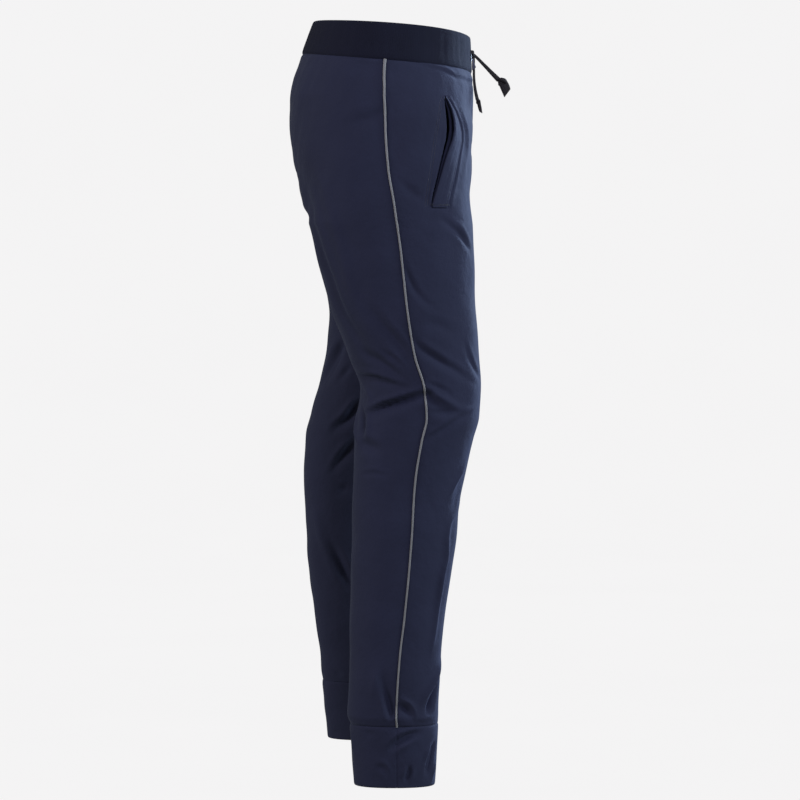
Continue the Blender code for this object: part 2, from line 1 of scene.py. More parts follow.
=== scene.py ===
"""The looks of the pull-on trousers: cloth with its creases, ribbed waistband, welt pockets, corded side
seams, cuffs, drawcord, stitches, materials and a pale studio.

The cloth is worked out as the solids are. A place on it is (side, z, t): t runs round one half, 0 at the
middle front, 0.5 at the side and 1 at the middle back, and below the crotch it runs round that leg from
inseam to inseam. Form sizes are in millimetres, and points become metres when a mesh is made.
"""

import math

import bmesh
import bpy
import numpy as np
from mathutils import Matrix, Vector


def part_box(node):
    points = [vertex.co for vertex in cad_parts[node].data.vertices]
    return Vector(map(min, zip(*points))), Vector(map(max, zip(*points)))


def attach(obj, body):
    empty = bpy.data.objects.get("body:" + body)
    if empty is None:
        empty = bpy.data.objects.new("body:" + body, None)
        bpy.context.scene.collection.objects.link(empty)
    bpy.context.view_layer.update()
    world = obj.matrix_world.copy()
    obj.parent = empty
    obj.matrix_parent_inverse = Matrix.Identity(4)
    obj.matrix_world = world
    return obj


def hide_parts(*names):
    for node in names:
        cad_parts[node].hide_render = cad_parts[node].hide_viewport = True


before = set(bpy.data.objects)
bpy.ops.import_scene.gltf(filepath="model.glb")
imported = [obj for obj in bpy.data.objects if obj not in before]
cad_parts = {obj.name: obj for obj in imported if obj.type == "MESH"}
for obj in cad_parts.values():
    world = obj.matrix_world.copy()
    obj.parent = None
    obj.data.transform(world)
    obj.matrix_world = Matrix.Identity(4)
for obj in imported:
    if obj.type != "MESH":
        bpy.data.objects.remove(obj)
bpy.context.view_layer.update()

bl_info = {
    "name": "Cuffed jogging trousers",
    "version": (1, 0, 0),
    "blender": (4, 5, 0),
    "location": "View3D > Sidebar > Trousers",
    "description": "Builds the cloth, trims, drawcord and studio round the trousers' frame",
    "category": "Object",
}

MM = 0.001
SIDES = ("right", "left")

# ---------------------------------------------------------------- the form's sizes, as in the solids

BAND_HEIGHT = 50.0
CROTCH_Z = -240.0
FORK_TOP_Z = -150.0
CROTCH_Y = 5.0
CUFF_SEAM_Z = {"right": -913.0, "left": -878.0}
HEM_Z = {"right": -996.0, "left": -960.0}
ARCH_DEPTH = 26.0
FOLD_FADE = 9.0  # creases run out this far from a waist or cuff seam
POCKET_TOP = {"y": -78.0, "z": -72.0}
POCKET_FOOT = {"y": -59.0, "z": -218.0}
MOUTH_HEIGHT = POCKET_TOP["z"] - POCKET_FOOT["z"]
STITCH_ROWS = (9.8, 13.2)  # how far behind the line between the ends of the pocket's mouth
SEAM_GAP = 0.12  # between the two halves at the middle seams
WALL_EXTRA = 0.5  # the wall is this much thicker than the cloth, for its seam allowances
AHEAD_SHARE = 0.66  # of a front panel's columns lie ahead of the pocket's mouth
PARTING = 0.7  # above and below the mouth, the panel's two parts meet at this share of its width
MOUTH_FADE = 90.0  # above and below the mouth, they come to meet there over this height
MOUTH_PULL = 26.0  # the cloth beside the mouth follows its edges, and this far away hardly
CUFF_PRESS, CUFF_WAVES = 1.35, 0.9  # how strongly the cuffs' creases and slow waves show
WELT_PAST = 3.0  # the welt reaches this far past each end of the mouth
WELT_SEAM_SHARE = 0.86  # the welt's stitches lie at this share of its width from its free edge
BAG = {"above": 14.0, "below": 40.0, "ahead": 68.0, "behind": 34.0}  # how far it reaches past the mouth
BAG_BELLY, BAG_PLY = 9.0, 0.7  # how far it bulges in, and how thick it is
EYELET_Z, EYELET_STAND = -3.5, 0.85  # its height, and how far its middle stands out of the band's form

TORSO = {
    "z": (25, 0, -25, -36, -55, -80, -110, -140, -170, -200, -240),
    "half_width": (148, 153, 158, 161, 167, 172, 176, 178, 180, 181, 181),
    "front": (110, 111, 112, 112.8, 114.2, 114.4, 113, 112, 112.5, 112.5, 112.5),
    "back": (105, 113, 121, 125, 133, 138, 137.5, 134, 129, 122, 111),
    "front_square": (2.1, 2.1, 2.2, 2.3, 2.5, 2.75, 3.0, 3.1, 3.1, 3.0, 3.0),
    "back_square": (2.1, 2.1, 2.15, 2.2, 2.25, 2.35, 2.45, 2.55, 2.6, 2.7, 2.8),
    "front_lift": (-8, -8.5, -6, -5.5, -5, -4, -2, 0, 0, 0, 0),
    "back_lift": (13.5, 17.5, 20, 18.5, 15, 11, 6, 2, 0, 0, 0),
}
LEGS = {
    "right": {
        "z": (-240, -300, -360, -420, -463, -500, -530, -600, -700, -800, -870, -900, -913, -955, -996),
        "inner": (8, 12, 17, 22, 25, 28, 30, 36, 42, 48, 52, 53, 57, 61, 64),
        "outer": (181, 180, 178, 175, 172, 170, 169, 166, 162, 157, 155, 154, 150.5, 147, 143),
        "front": (-112, -114, -116, -120, -123, -121, -113, -97, -84.5, -71, -66.5, -66, -65, -63, -60.5),
        "back": (110, 94, 77, 55, 39, 43, 48, 50, 52, 54, 56, 57, 53.5, 51, 48),
    },
    "left": {
        "z": (-240, -300, -360, -420, -463, -500, -530, -600, -700, -800, -835, -866, -878, -920, -960),
        "inner": (8, 12, 17, 22, 25, 28, 30, 36, 42, 48, 51, 53, 57, 61, 64),
        "outer": (181, 180, 178, 175, 172, 170, 169, 166, 162, 157, 155, 154, 150.5, 147, 143),
        "front": (-112, -108, -98, -82, -62, -46, -36, -22, -14, -16, -22, -24, -20, -20, -20),
        "back": (110, 97, 86, 91, 101, 112, 119, 121.5, 117, 105, 100, 98, 96, 92, 88.5),
    },
}
LEG_SQUARE = 2.2
SIDE_SEAM = {
    "z": (
        25, -25, -70, -120, -170, -220, -268, -318, -368,
        -418, -463, -510, -567, -666, -765, -815, -865, -913,
    ),
    "share": (
        0.500, 0.506, 0.483, 0.473, 0.473, 0.463, 0.462, 0.469, 0.480,
        0.492, 0.473, 0.434, 0.441, 0.427, 0.430, 0.450, 0.461, 0.467,
    ),
}
GIRTH = {"z": (0, -240, -463, -700, -900), "round": (800, 620, 480, 410, 370)}

# ---------------------------------------------------------------- creases

# Each crease is a line on the cloth. Depth is how far it presses in (a ridge is negative), width is half
# its width, sharp goes from 0, soft, to 1, a crisp fold, and peak is how far along it is deepest. A lean
# of 1 makes its upper wall steep and its lower one long. Above and below are the shares of its depth
# that stand up beside it. Upper and lower change places for a line along which t rises. A row is depth,
# width, as many of the others as differ from the usual ones, in this order, and the line.
USUAL_CREASE = {"sharp": 0.0, "peak": 0.5, "lean": 0.0, "above": 0.0, "below": 0.0}
CREASES = {
    "right": (
        # the swell of the seat, and the back of the thigh
        (-4.4, 17, ((0.90, -170), (0.84, -187), (0.785, -203), (0.75, -226))),
        (-3.4, 17, ((0.93, -204), (0.86, -209), (0.79, -212), (0.75, -216))),
        (-2.4, 9, ((0.91, -216), (0.84, -217), (0.78, -218), (0.74, -219))),
        (3.2, 8, 0.2, 0.5, 0.0, 0.4, 0.1, (
            (0.77, -190), (0.71, -228), (0.694, -290), (0.68, -333), (0.66, -370), (0.636, -403),
            (0.614, -430), (0.59, -440),
        )),
        (-2.6, 9, (
            (0.71, -160), (0.66, -200), (0.635, -240), (0.628, -300), (0.622, -339), (0.60, -388),
            (0.568, -434),
        )),
        (2.6, 7, 0.3, 0.6, 0.3, 0.3, 0.2, (
            (0.598, -343), (0.575, -365), (0.556, -382), (0.535, -399), (0.52, -417), (0.503, -430),
        )),
        (2.6, 6, 0.3, 0.5, 0.2, 0.3, 0.2, (
            (0.66, -405), (0.634, -415), (0.598, -423), (0.576, -433), (0.556, -443), (0.545, -450),
        )),
        (1.8, 4, 0.4, 0.4, 0.2, 0.4, 0.2, ((0.59, -408), (0.558, -421), (0.534, -434))),
        # above the hollow of the knee
        (4.2, 4.4, 0.5, 0.3, 0.5, 0.6, 0.1, (
            (0.70, -446), (0.66, -446), (0.63, -447), (0.602, -451), (0.57, -456), (0.53, -461),
        )),
        # the hollow of the knee, and the narrow tuck that runs down from it
        (7.2, 5.5, 0.6, 0.35, 0.8, 0.5, 0.05, (
            (0.675, -496), (0.655, -493), (0.628, -488), (0.602, -483), (0.566, -478), (0.526, -472),
            (0.48, -466), (0.45, -466),
        )),
        (-1.6, 3.2, 0.5, ((0.712, -452), (0.68, -463), (0.66, -473), (0.668, -482), (0.676, -489))),
        (5.0, 3.6, 0.4, ((0.70, -484), (0.684, -500), (0.672, -516), (0.664, -528))),
        (-2.6, 3.6, 0.5, ((0.742, -484), (0.735, -504), (0.708, -527), (0.676, -536))),
        (-2.2, 3.0, 0.5, ((0.665, -490), (0.652, -508), (0.646, -522), (0.656, -532))),
        # front of the thigh, down to the knee
        (1.2, 4.5, 0.4, 0.4, 0.2, 0.3, 0.2, (
            (0.481, -290), (0.478, -304), (0.464, -328), (0.44, -346), (0.41, -358),
        )),
        (1.2, 8, 0.1, 0.4, 0.2, 0.2, 0.1, ((0.46, -376), (0.421, -376), (0.393, -384), (0.372, -395))),
        (2.8, 5.5, 0.5, 0.3, 0.4, 0.35, 0.1, (
            (0.492, -392), (0.476, -406), (0.446, -418), (0.415, -429), (0.386, -438), (0.362, -446),
            (0.32, -458),
        )),
        (1.8, 4.0, 0.5, 0.5, 0.3, 0.4, 0.1, (
            (0.352, -392), (0.343, -410), (0.33, -426), (0.306, -440), (0.27, -452),
        )),
        # side of the knee: a crisp ridge that fans out of the side seam, with grooves above and below it
        (-2.6, 3.6, 0.5, 0.25, ((0.494, -455), (0.458, -468), (0.416, -479), (0.374, -488), (0.302, -488))),
        (1.5, 3.0, 0.5, 0.3, 0.2, 0.3, ((0.486, -456), (0.458, -457), (0.432, -463), (0.4, -474))),
        (2.6, 4.5, 0.4, 0.2, 0.5, 0.0, 0.1, ((0.492, -465), (0.47, -474), (0.45, -482), (0.42, -488))),
        (2.6, 4.0, 0.6, 0.55, 0.5, 0.0, 0.2, ((0.48, -491), (0.436, -492), (0.385, -492))),
        (2.0, 3.8, 0.5, 0.5, 0.3, 0.6, 0.1, (
            (0.476, -529), (0.444, -522), (0.424, -516), (0.382, -501), (0.336, -494),
        )),
        # below the knee
        (3.0, 7, 0.3, 0.4, 0.2, 0.3, 0.2, ((0.68, -536), (0.655, -535), (0.622, -540), (0.588, -545))),
        (1.5, 2.8, 0.6, 0.4, 0.3, 0.5, 0.1, ((0.668, -577), (0.616, -573), (0.556, -578))),
        (-2.6, 4.0, 0.5, 0.4, ((0.29, -556), (0.31, -567), (0.336, -585), (0.36, -612))),
        (0.9, 6.0, 0.3, 0.4, ((0.28, -582), (0.31, -600), (0.33, -635))),
        (-4.0, 4.6, 0.5, (
            (0.25, -612), (0.33, -636), (0.344, -656), (0.34, -684), (0.349, -712), (0.348, -742),
            (0.352, -784), (0.36, -832),
        )),
        # cloth that piles up on the cuff
        (-1.2, 6.0, 0.2, ((0.596, -885), (0.58, -855), (0.556, -823))),
        (5.0, 7.0, 0.3, 0.8, -0.4, 0.0, 0.2, ((0.552, -836), (0.534, -863), (0.516, -884), (0.502, -903))),
        (3.8, 5.5, 0.4, ((0.488, -882), (0.468, -885), (0.44, -892), (0.42, -903))),
        (-1.8, 3.4, 0.5, ((0.48, -871), (0.464, -875), (0.432, -881), (0.41, -893), (0.404, -906))),
        (-1.2, 4.0, 0.3, ((0.406, -903), (0.37, -902), (0.324, -900))),
        (12.0, 4.6, 0.3, 0.6, (
            (0.268, -846), (0.288, -853), (0.304, -862), (0.322, -873), (0.342, -887), (0.356, -899),
        )),
        (-4.6, 5.0, 0.3, ((0.388, -886), (0.36, -868), (0.332, -853), (0.30, -836), (0.27, -822))),
        # seat, groin and hip
        (1.6, 9, 0.1, 0.75, 0.3, 0.2, 0.1, (
            (0.64, -114), (0.60, -110), (0.56, -106), (0.52, -98), (0.5, -96),
        )),
        (3.0, 4.5, 0.5, 0.6, 0.2, 0.3, 0.1, ((0.39, -233), (0.37, -242), (0.334, -255), (0.29, -281))),
        (0.9, 6, 0.2, 0.4, 0.0, 0.3, 0.1, ((0.486, -184), (0.446, -203), (0.41, -216))),
        (2.0, 9, 0.3, 0.6, 0.0, 0.2, 0.1, ((0.20, -270), (0.14, -258), (0.07, -254), (0.015, -256))),
        (2.4, 13, ((0.30, -88), (0.20, -80), (0.10, -80), (0.0, -82), (-0.1, -82))),
        (1.2, 8, ((0.25, -146), (0.15, -138), (0.05, -138), (-0.1, -140))),
        (-2.4, 8, 0.1, (
            (0.30, -74), (0.284, -97), (0.264, -119), (0.262, -142), (0.28, -163), (0.298, -186),
        )),
        (0.9, 8, 0.2, 0.7, 0.0, 0.2, 0.1, ((0.2, -206), (0.12, -212), (0.05, -228), (0.01, -238))),
        (1.6, 8, 0.3, 0.5, 0.0, 0.2, 0.2, ((0.21, -300), (0.13, -285), (0.05, -268))),
        (2.0, 10, 0.3, 0.35, 0.0, 0.3, 0.2, ((0.985, -246), (0.94, -238), (0.88, -226), (0.82, -226))),
        (1.8, 9, 0.3, 0.4, 0.0, 0.2, 0.3, ((0.98, -262), (0.93, -268), (0.88, -276), (0.82, -276))),
        # the knee's inner face
        (2.2, 8, 0.3, 0.5, 0.3, 0.3, 0.2, ((0.12, -470), (0.04, -476), (-0.05, -480))),
    ),
    "left": (
        # the swell of the seat, and the back of the thigh
        (-3.6, 17, ((0.90, -170), (0.84, -187), (0.785, -203), (0.75, -226))),
        (-3.0, 17, ((0.93, -204), (0.86, -209), (0.79, -212), (0.75, -216))),
        # the leg's inner and back face, seen past the right one
        (3.0, 6, 0.3, 0.6, 0.0, 0.0, 0.2, ((0.83, -464), (0.838, -444), (0.852, -425), (0.87, -404))),
        (5.0, 6, 0.4, 0.3, 0.0, 0.2, 0.1, (
            (0.87, -396), (0.862, -403), (0.842, -415), (0.824, -431), (0.812, -450), (0.80, -464),
        )),
        (2.0, 4.5, 0.4, 0.4, 0.0, 0.2, 0.1, ((0.905, -430), (0.898, -436), (0.886, -446), (0.872, -458))),
        (5.5, 7, 0.5, 0.3, 0.5, 0.4, 0.1, (
            (0.975, -480), (0.963, -488), (0.945, -506), (0.918, -519), (0.9, -529),
        )),
        (4.2, 6, 0.5, 0.3, 0.4, 0.4, 0.1, (
            (0.99, -536), (0.981, -543), (0.954, -558), (0.929, -574), (0.907, -586),
        )),
        (1.2, 5, 0.3, 0.4, 0.0, 0.2, 0.2, ((0.98, -600), (0.96, -606), (0.94, -608))),
        (3.8, 7, 0.4, 0.6, -0.3, 0.2, 0.3, (
            (0.915, -675), (0.923, -685), (0.946, -704), (0.974, -727), (1.0, -745),
        )),
        (-2.2, 9, 0.2, ((0.851, -630), (0.88, -669), (0.905, -694), (0.918, -717))),
        (1.0, 5, 0.3, 0.5, 0.0, 0.2, 0.2, ((0.91, -871), (0.885, -866), (0.859, -867))),
        # the knee's inner face
        (2.2, 8, 0.3, 0.5, 0.3, 0.3, 0.2, ((0.12, -460), (0.04, -480), (-0.05, -500))),
    ),
    "right cuff": (
        (4.4, 5.0, 0.3, 0.5, 0.0, 0.3, 0.3, (
            (0.53, -947), (0.51, -940), (0.462, -930), (0.416, -923), (0.372, -918),
        )),
        (7.0, 4.2, 0.4, 0.5, 0.0, 0.1, 0.1, (
            (0.344, -982), (0.336, -970), (0.328, -958), (0.316, -947), (0.304, -934),
        )),
        (-2.2, 3.6, 0.4, ((0.312, -990), (0.302, -975), (0.276, -958))),
        (-1.8, 4.0, 0.3, ((0.358, -962), (0.332, -938))),
        (-1.2, 6.0, 0.2, ((0.724, -920), (0.71, -940), (0.69, -962))),
        (0.8, 4.5, 0.2, 0.5, 0.0, 0.3, 0.2, ((0.64, -922), (0.61, -923), (0.585, -926))),
        (1.5, 4.2, 0.3, 0.5, 0.0, 0.5, 0.2, ((0.598, -967), (0.555, -969), (0.532, -980))),
        (3.2, 4.2, 0.3, 0.5, 0.0, 0.3, 0.3, ((0.448, -988), (0.43, -977), (0.42, -964))),
    ),
}
# What one leg's shown face has, the other's hidden face has too: the creases of this stretch of t are
# given to the other leg, moved down by shift below the hip, and as deep as share says.
HIDDEN_CREASES = (
    {"from": "right", "to": "left", "t": (0.2, 0.70), "shift": 22.0, "share": 0.85},
    {"from": "left", "to": "right", "t": (0.85, 1.02), "shift": -22.0, "share": 0.75},
    {"from": "right", "to": "left", "t": (-0.02, 0.2), "shift": 0.0, "share": 0.9},
    {"from": "right cuff", "to": "left cuff", "t": (0.2, 0.8), "shift": -35.0, "share": 0.9},
)
# How wide the pocket's welt is, from its free edge to the seam that it is sewn in.
WELT = {
    "z": (-66, -74, -81, -99, -118, -132, -157, -184, -211, -224),
    "wide": (3, 5, 7.5, 15.3, 24, 29, 28.5, 27, 23.5, 22),
}
# How far the mouth's two edges lie ahead of the straight line between its ends: the welt's and the leg's.
MOUTH = {
    "z": (-30, -72, -76, -89, -103, -117, -131, -145, -158, -172, -185, -198, -211, -219, -262),
    "welt": (0, -5.6, -2.5, 5.0, 9.6, 11.9, 10.9, 7.6, 5.1, 3.2, 1.6, -0.4, -2.3, -3.2, 0),
    "leg": (0, -5.9, -5.4, -1.3, 2.8, 5.4, 6.2, 3.8, 2.3, 0.6, -0.9, -2.8, -3.7, -3.4, 0),
}
# The roll of cloth under the front of the waistband ends in this groove, a place for each t.
WAIST_ROLL = {
    "t": (0.02, 0.15, 0.214, 0.288, 0.34, 0.408, 0.5),
    "z": (-44, -42, -41.5, -41, -33, -28.5, -27),
}

# ---------------------------------------------------------------- drawcord, as in the solids

CORD_WIDTH, CORD_THICK = 6.5, 2.4
CORD_STEP = 1.2  # between two points of a cord
TIE_ROUTE = (
    (26.4, -110.2, -3.5), (25.6, -113.4, -3.5), (22, -114.4, -3.9), (14, -114.6, -4.6), (4, -114.6, -5),
)
CORD_ROUTES = {
    "drawcord_right": (
        (-2, -121.2, -10.5), (-3.7, -127.1, -16.8), (-6, -132.2, -22.2),
        (-8.5, -140.0, -30.6), (-10.5, -149.5, -40.4),
    ),
    "drawcord_left": (
        (3.2, -115.4, -9), (5, -115.6, -22), (7, -115.9, -38), (9.2, -117.7, -53), (11, -120.6, -66),
    ),
}
# What joins each hanging length to the knot on the band.
CORD_STARTS = {
    "drawcord_right": ((-0.5, -112.9, -3.2), (-1, -116.0, -5.6)),
    "drawcord_left": ((1.0, -113.8, -4.0),),
}
# Each end is a knot and a tail cut off aslant. The rails are the tail's two edges, as (y, z), and the tail
# leans away from the middle by lean for each millimetre down.
CORD_ENDS = {
    "cord_end_right": {
        "x": -10.8,
        "lean": 0.1,
        "knot": (-154.4, -43.4),
        "size": (4.2, 4.4, 4.4),
        "rear": ((-147.0, -39.5), (-148.4, -44.0), (-150.4, -49.0), (-153.6, -56.6), (-157.0, -64.3)),
        "fore": ((-153.0, -36.8), (-158.4, -38.4), (-162.0, -43.6), (-164.2, -48.2), (-165.4, -52.8)),
    },
    "cord_end_left": {
        "x": 11.2,
        "lean": 0.07,
        "knot": (-121.8, -68.2),
        "size": (2.4, 2.2, 2.6),
        "rear": ((-118.6, -64.6), (-119.4, -68.6), (-120.6, -73.4), (-121.8, -78.0), (-123.4, -82.2)),
        "fore": ((-121.4, -63.0), (-124.6, -66.8), (-125.5, -71.3), (-126.6, -77.0), (-127.6, -84.4)),
    },
}
# The knot on the band, and half the width and half the thickness of its cord.
KNOT = {"place": (0.0, -113.9, -6.6), "size": (5.4, 1.0, 2.6), "cord": (2.0, 1.0)}
# The loop's two edges, as (y, z): a short flat end that hangs from the knot, cut aslant.
LOOP = {
    "x": -3.2,
    "lean": 0.05,
    "rear": ((-112.6, -7.5), (-112.8, -12.0), (-112.7, -19.0), (-112.9, -26.6)),
    "fore": ((-113.6, -7.0), (-114.9, -12.2), (-116.6, -17.6), (-118.4, -22.2)),
}


# ---------------------------------------------------------------- the body's form


def curve(table, column, z):
    """A column's value at each height, on a smooth curve that never overshoots the rows beside it."""
    down = -np.array(table["z"], float)
    values = np.array(table[column], float)
    steps = np.diff(down)
    slopes = np.diff(values) / steps
    both = slopes[:-1] * slopes[1:]
    total = slopes[:-1] + slopes[1:]
    middle = np.where(both > 0, 2 * both / np.where(total == 0, 1.0, total), 0.0)
    tangents = np.concatenate((slopes[:1], middle, slopes[-1:]))
    at = np.clip(-np.asarray(z, float), down[0], down[-1])
    row = np.clip(np.searchsorted(down, at, side="right") - 1, 0, len(steps) - 1)
    u = (at - down[row]) / steps[row]
    start = values[row] * (1 + 2 * u) + steps[row] * tangents[row] * u
    end = values[row + 1] * (3 - 2 * u) - steps[row] * tangents[row + 1] * (1 - u)
    return start * (1 - u) ** 2 + end * u**2


def ease(share):
    """0 to 1 with no corner at either end."""
    share = np.clip(share, 0.0, 1.0)
    return share * share * (3 - 2 * share)


def bump(distance, width):
    """1 at no distance, and close to 0 two widths away."""
    return np.exp(-((np.asarray(distance) / width) ** 2))


def reach(across, along, half_width, half_depth, square):
    """How far a rounded rectangle's edge is from its middle, in the direction (across, along)."""
    wide, deep = np.abs(across / half_width) ** square, np.abs(along / half_depth) ** square
    return (wide + deep) ** (-1 / square)


def torso_outline(z, t):
    """(out, y) round half the torso."""
    across, along = np.sin(np.pi * t), -np.cos(np.pi * t)
    behind = along > 0
    depth = np.where(behind, curve(TORSO, "back", z), curve(TORSO, "front", z))
    square = np.where(behind, curve(TORSO, "back_square", z), curve(TORSO, "front_square", z))
    far = reach(across, along, curve(TORSO, "half_width", z), depth, square)
    return far * across, far * along


def leg_outline(side, z, t):
    """(out, y) round a leg. Both legs meet in one point at the crotch, and part in an arch below it."""
    leg = LEGS[side]
    parted = np.clip((CROTCH_Z - z) / ARCH_DEPTH, 0.0, 1.0)
    inner = curve(leg, "inner", z) * np.sqrt(1 - (1 - parted) ** 2)
    outer, front, back = curve(leg, "outer", z), curve(leg, "front", z), curve(leg, "back", z)
    inward, along = np.cos(2 * np.pi * t), -np.sin(2 * np.pi * t)
    far = reach(inward, along, (outer - inner) / 2, (back - front) / 2, LEG_SQUARE)
    middle = (front + back) / 2
    middle = middle + (CROTCH_Y - middle) * (1 - parted) * np.maximum(inward, 0.0) ** 4
    return (inner + outer) / 2 - far * inward, middle + far * along


def fork(z):
    """How far the section has turned from the torso's into the leg's, and how far its middle seam drops."""
    turn = np.clip((FORK_TOP_Z - z) / (FORK_TOP_Z - CROTCH_Z), 0.0, 1.0)
    return 1 - np.cos(turn * np.pi / 2), (FORK_TOP_Z - CROTCH_Z) * (turn - np.sin(turn * np.pi / 2))


def lift(z, t):
    """How far a torso row stands above its height at the side."""
    along = -np.cos(np.pi * t)
    front, back = curve(TORSO, "front_lift", z), curve(TORSO, "back_lift", z)
    return (back - front) / 2 * along + (back + front) / 2 * along**2


def bare(side, z, t):
    """The outer face with no creases, as (out, y, z) in the last axis. Out is x on the left half."""
    z, t = np.broadcast_arrays(np.asarray(z, float), np.asarray(t, float))
    turned, drop = fork(z)
    out, y = torso_outline(z, t)
    leg_out, leg_y = leg_outline(side, np.minimum(z, CROTCH_Z), t)
    near_seam = ease(1 - np.minimum(t, 1 - t) / 0.2)
    height = z + lift(z, t) + drop * near_seam
    return np.stack((out + (leg_out - out) * turned, y + (leg_y - y) * turned, height), axis=-1)


def unit(vectors):
    """The vectors, each as long as 1."""
    return vectors / np.maximum(np.linalg.norm(vectors, axis=-1, keepdims=True), 1e-12)


def outward(side, z, t, step_t=0.006, step_z=3.0):
    """The bare form's normal: in the middle plane at a middle seam, and level at an end row."""
    z, t = np.broadcast_arrays(np.asarray(z, float), np.asarray(t, float))
    on_leg = z < CROTCH_Z - 0.01
    before = np.where(on_leg, t - step_t, np.maximum(t - step_t, 0.0))
    after = np.where(on_leg, t + step_t, np.minimum(t + step_t, 1.0))
    around = bare(side, z, after) - bare(side, z, before)
    down = bare(side, z - step_z, t) - bare(side, z + step_z, t)
    normal = np.cross(down, around)
    at_middle = ~on_leg & (np.minimum(t, 1 - t) < step_t)
    normal[..., 0] = np.where(at_middle, 0.0, normal[..., 0])
    at_end = (z > -BAND_HEIGHT / 2 - 1) | ((z < CUFF_SEAM_Z[side] + 1) & (z > CUFF_SEAM_Z[side] - 1))
    normal[..., 2] = np.where(at_end, 0.0, normal[..., 2])
    return unit(normal)


def speed(side, z, t, step=0.003):
    """How many millimetres one turn of t measures at a place."""
    return np.linalg.norm(bare(side, z, t + step) - bare(side, z, t - step), axis=-1) / (2 * step)


def smooth_route(route, spacing):
    """Points along a smooth curve through a route, about this far apart."""
    places = np.array(route, float)
    ends = np.concatenate((2 * places[:1] - places[1:2], places, 2 * places[-1:] - places[-2:-1]))
    line = []
    for k in range(len(places) - 1):
        a, b, c, d = ends[k : k + 4]
        count = max(2, round(float(np.linalg.norm(c - b)) / spacing))
        square, cube = a - 2.5 * b + 2 * c - d / 2, 1.5 * (b - c) + (d - a) / 2
        for u in np.arange(count) / count:
            line.append(b + u * (c - a) / 2 + u**2 * square + u**3 * cube)
    return np.array([*line, places[-1]])


def crease_from(row):
    """A row of the table as words and values."""
    depth, width, *shape, line = row
    return {"depth": depth, "width": width, "line": line, **USUAL_CREASE, **dict(zip(USUAL_CREASE, shape))}


def crease_list(part):
    """The creases of one leg or cuff, with those that its hidden face takes from the other's."""
    every = {leg: [crease_from(row) for row in rows] for leg, rows in CREASES.items()}
    found = every.get(part, [])[:]
    for rule in HIDDEN_CREASES:
        if rule["to"] != part:
            continue
        for crease in every[rule["from"]]:
            middle_t = sum(t for t, _ in crease["line"]) / len(crease["line"])
            if not rule["t"][0] <= middle_t <= rule["t"][1]:
                continue
            middle_z = sum(z for _, z in crease["line"]) / len(crease["line"])
            shift = rule["shift"] * (1.0 if "cuff" in part else float(ease((CROTCH_Z - middle_z) / 120)))
            line = tuple((t, z - shift) for t, z in crease["line"])
            found.append({**crease, "line": line, "depth": crease["depth"] * rule["share"]})
    return found


CREASE_REACH = 4.5  # in half widths: further away, a crease is not felt
LEAN_WIDENS = 0.45  # how much a lean of 1 widens one wall and narrows the other
SHOULDER_AT, SHOULDER_WIDE = 1.9, 0.9  # where the cloth stands up beside a crease, in half widths
END_STRENGTH = 0.08  # what is left of a crease at its two ends


def crease_depth(part, z, t):
    """How deep the creases press the cloth in at each place."""
    depth = np.zeros(z.shape)
    for crease in crease_list(part):
        line = np.array(crease["line"], float)
        around = float(curve(GIRTH, "round", line[:, 1].mean()))
        here = t - np.round(t - line[:, 0].mean())
        route = smooth_route(line * (around, 1.0), 5.0)
        margin = CREASE_REACH * crease["width"]
        low, high = route.min(axis=0) - margin, route.max(axis=0) + margin
        near = (here * around > low[0]) & (here * around < high[0]) & (z > low[1]) & (z < high[1])
        if not near.any():
            continue
        place = np.stack((here[near] * around, z[near]), axis=-1)[:, None, :]
        run = np.diff(route, axis=0)
        lengths = np.linalg.norm(run, axis=1)
        off = place - route[:-1]
        share = np.clip((off * run).sum(axis=-1) / lengths**2, 0.0, 1.0)
        gap = off - share[..., None] * run
        away = np.linalg.norm(gap, axis=-1)
        nearest = away.argmin(axis=1)
        rows = np.arange(len(nearest))
        passed = (np.cumsum(lengths) - lengths)[nearest] + share[rows, nearest] * lengths[nearest]
        along = passed / lengths.sum()
        turn = run[nearest, 0] * gap[rows, nearest, 1] - run[nearest, 1] * gap[rows, nearest, 0]
        side_of = away[rows, nearest] * np.where(turn > 0, 1.0, -1.0)
        below = side_of > 0
        leaning = LEAN_WIDENS * crease["lean"]
        width = crease["width"] * np.where(below, 1 + leaning, 1 - leaning)
        across = np.abs(side_of) / width
        shoulder = np.where(below, crease["below"], crease["above"])
        beside = shoulder * np.exp(-((across - SHOULDER_AT) ** 2) / SHOULDER_WIDE)
        form = np.exp(-(across ** (2 - crease["sharp"]))) - beside
        peak = crease["peak"]
        strength = np.where(along < peak, along / max(peak, 1e-6), (1 - along) / (1 - peak))
        fade = ease(strength * (1 - END_STRENGTH) + END_STRENGTH) ** 0.8
        depth[near] += crease["depth"] * fade * form
    return depth


def undulation(side, z, t):
    """The slow rise and fall of soft cloth, in millimetres: seven long waves that cross each other."""
    over = t * curve(GIRTH, "round", z)
    start = 0.0 if side == "right" else 1.9
    total = 0.0
    for k in range(7):
        angle, wave, height = 2.4 * k + start, 38.0 + 15.0 * k, 0.16 * (1 + 0.2 * k)
        across = over * math.cos(angle) + z * math.sin(angle)
        total = total + height * np.sin(2 * np.pi * across / wave + 1.7 * k + start)
    return total


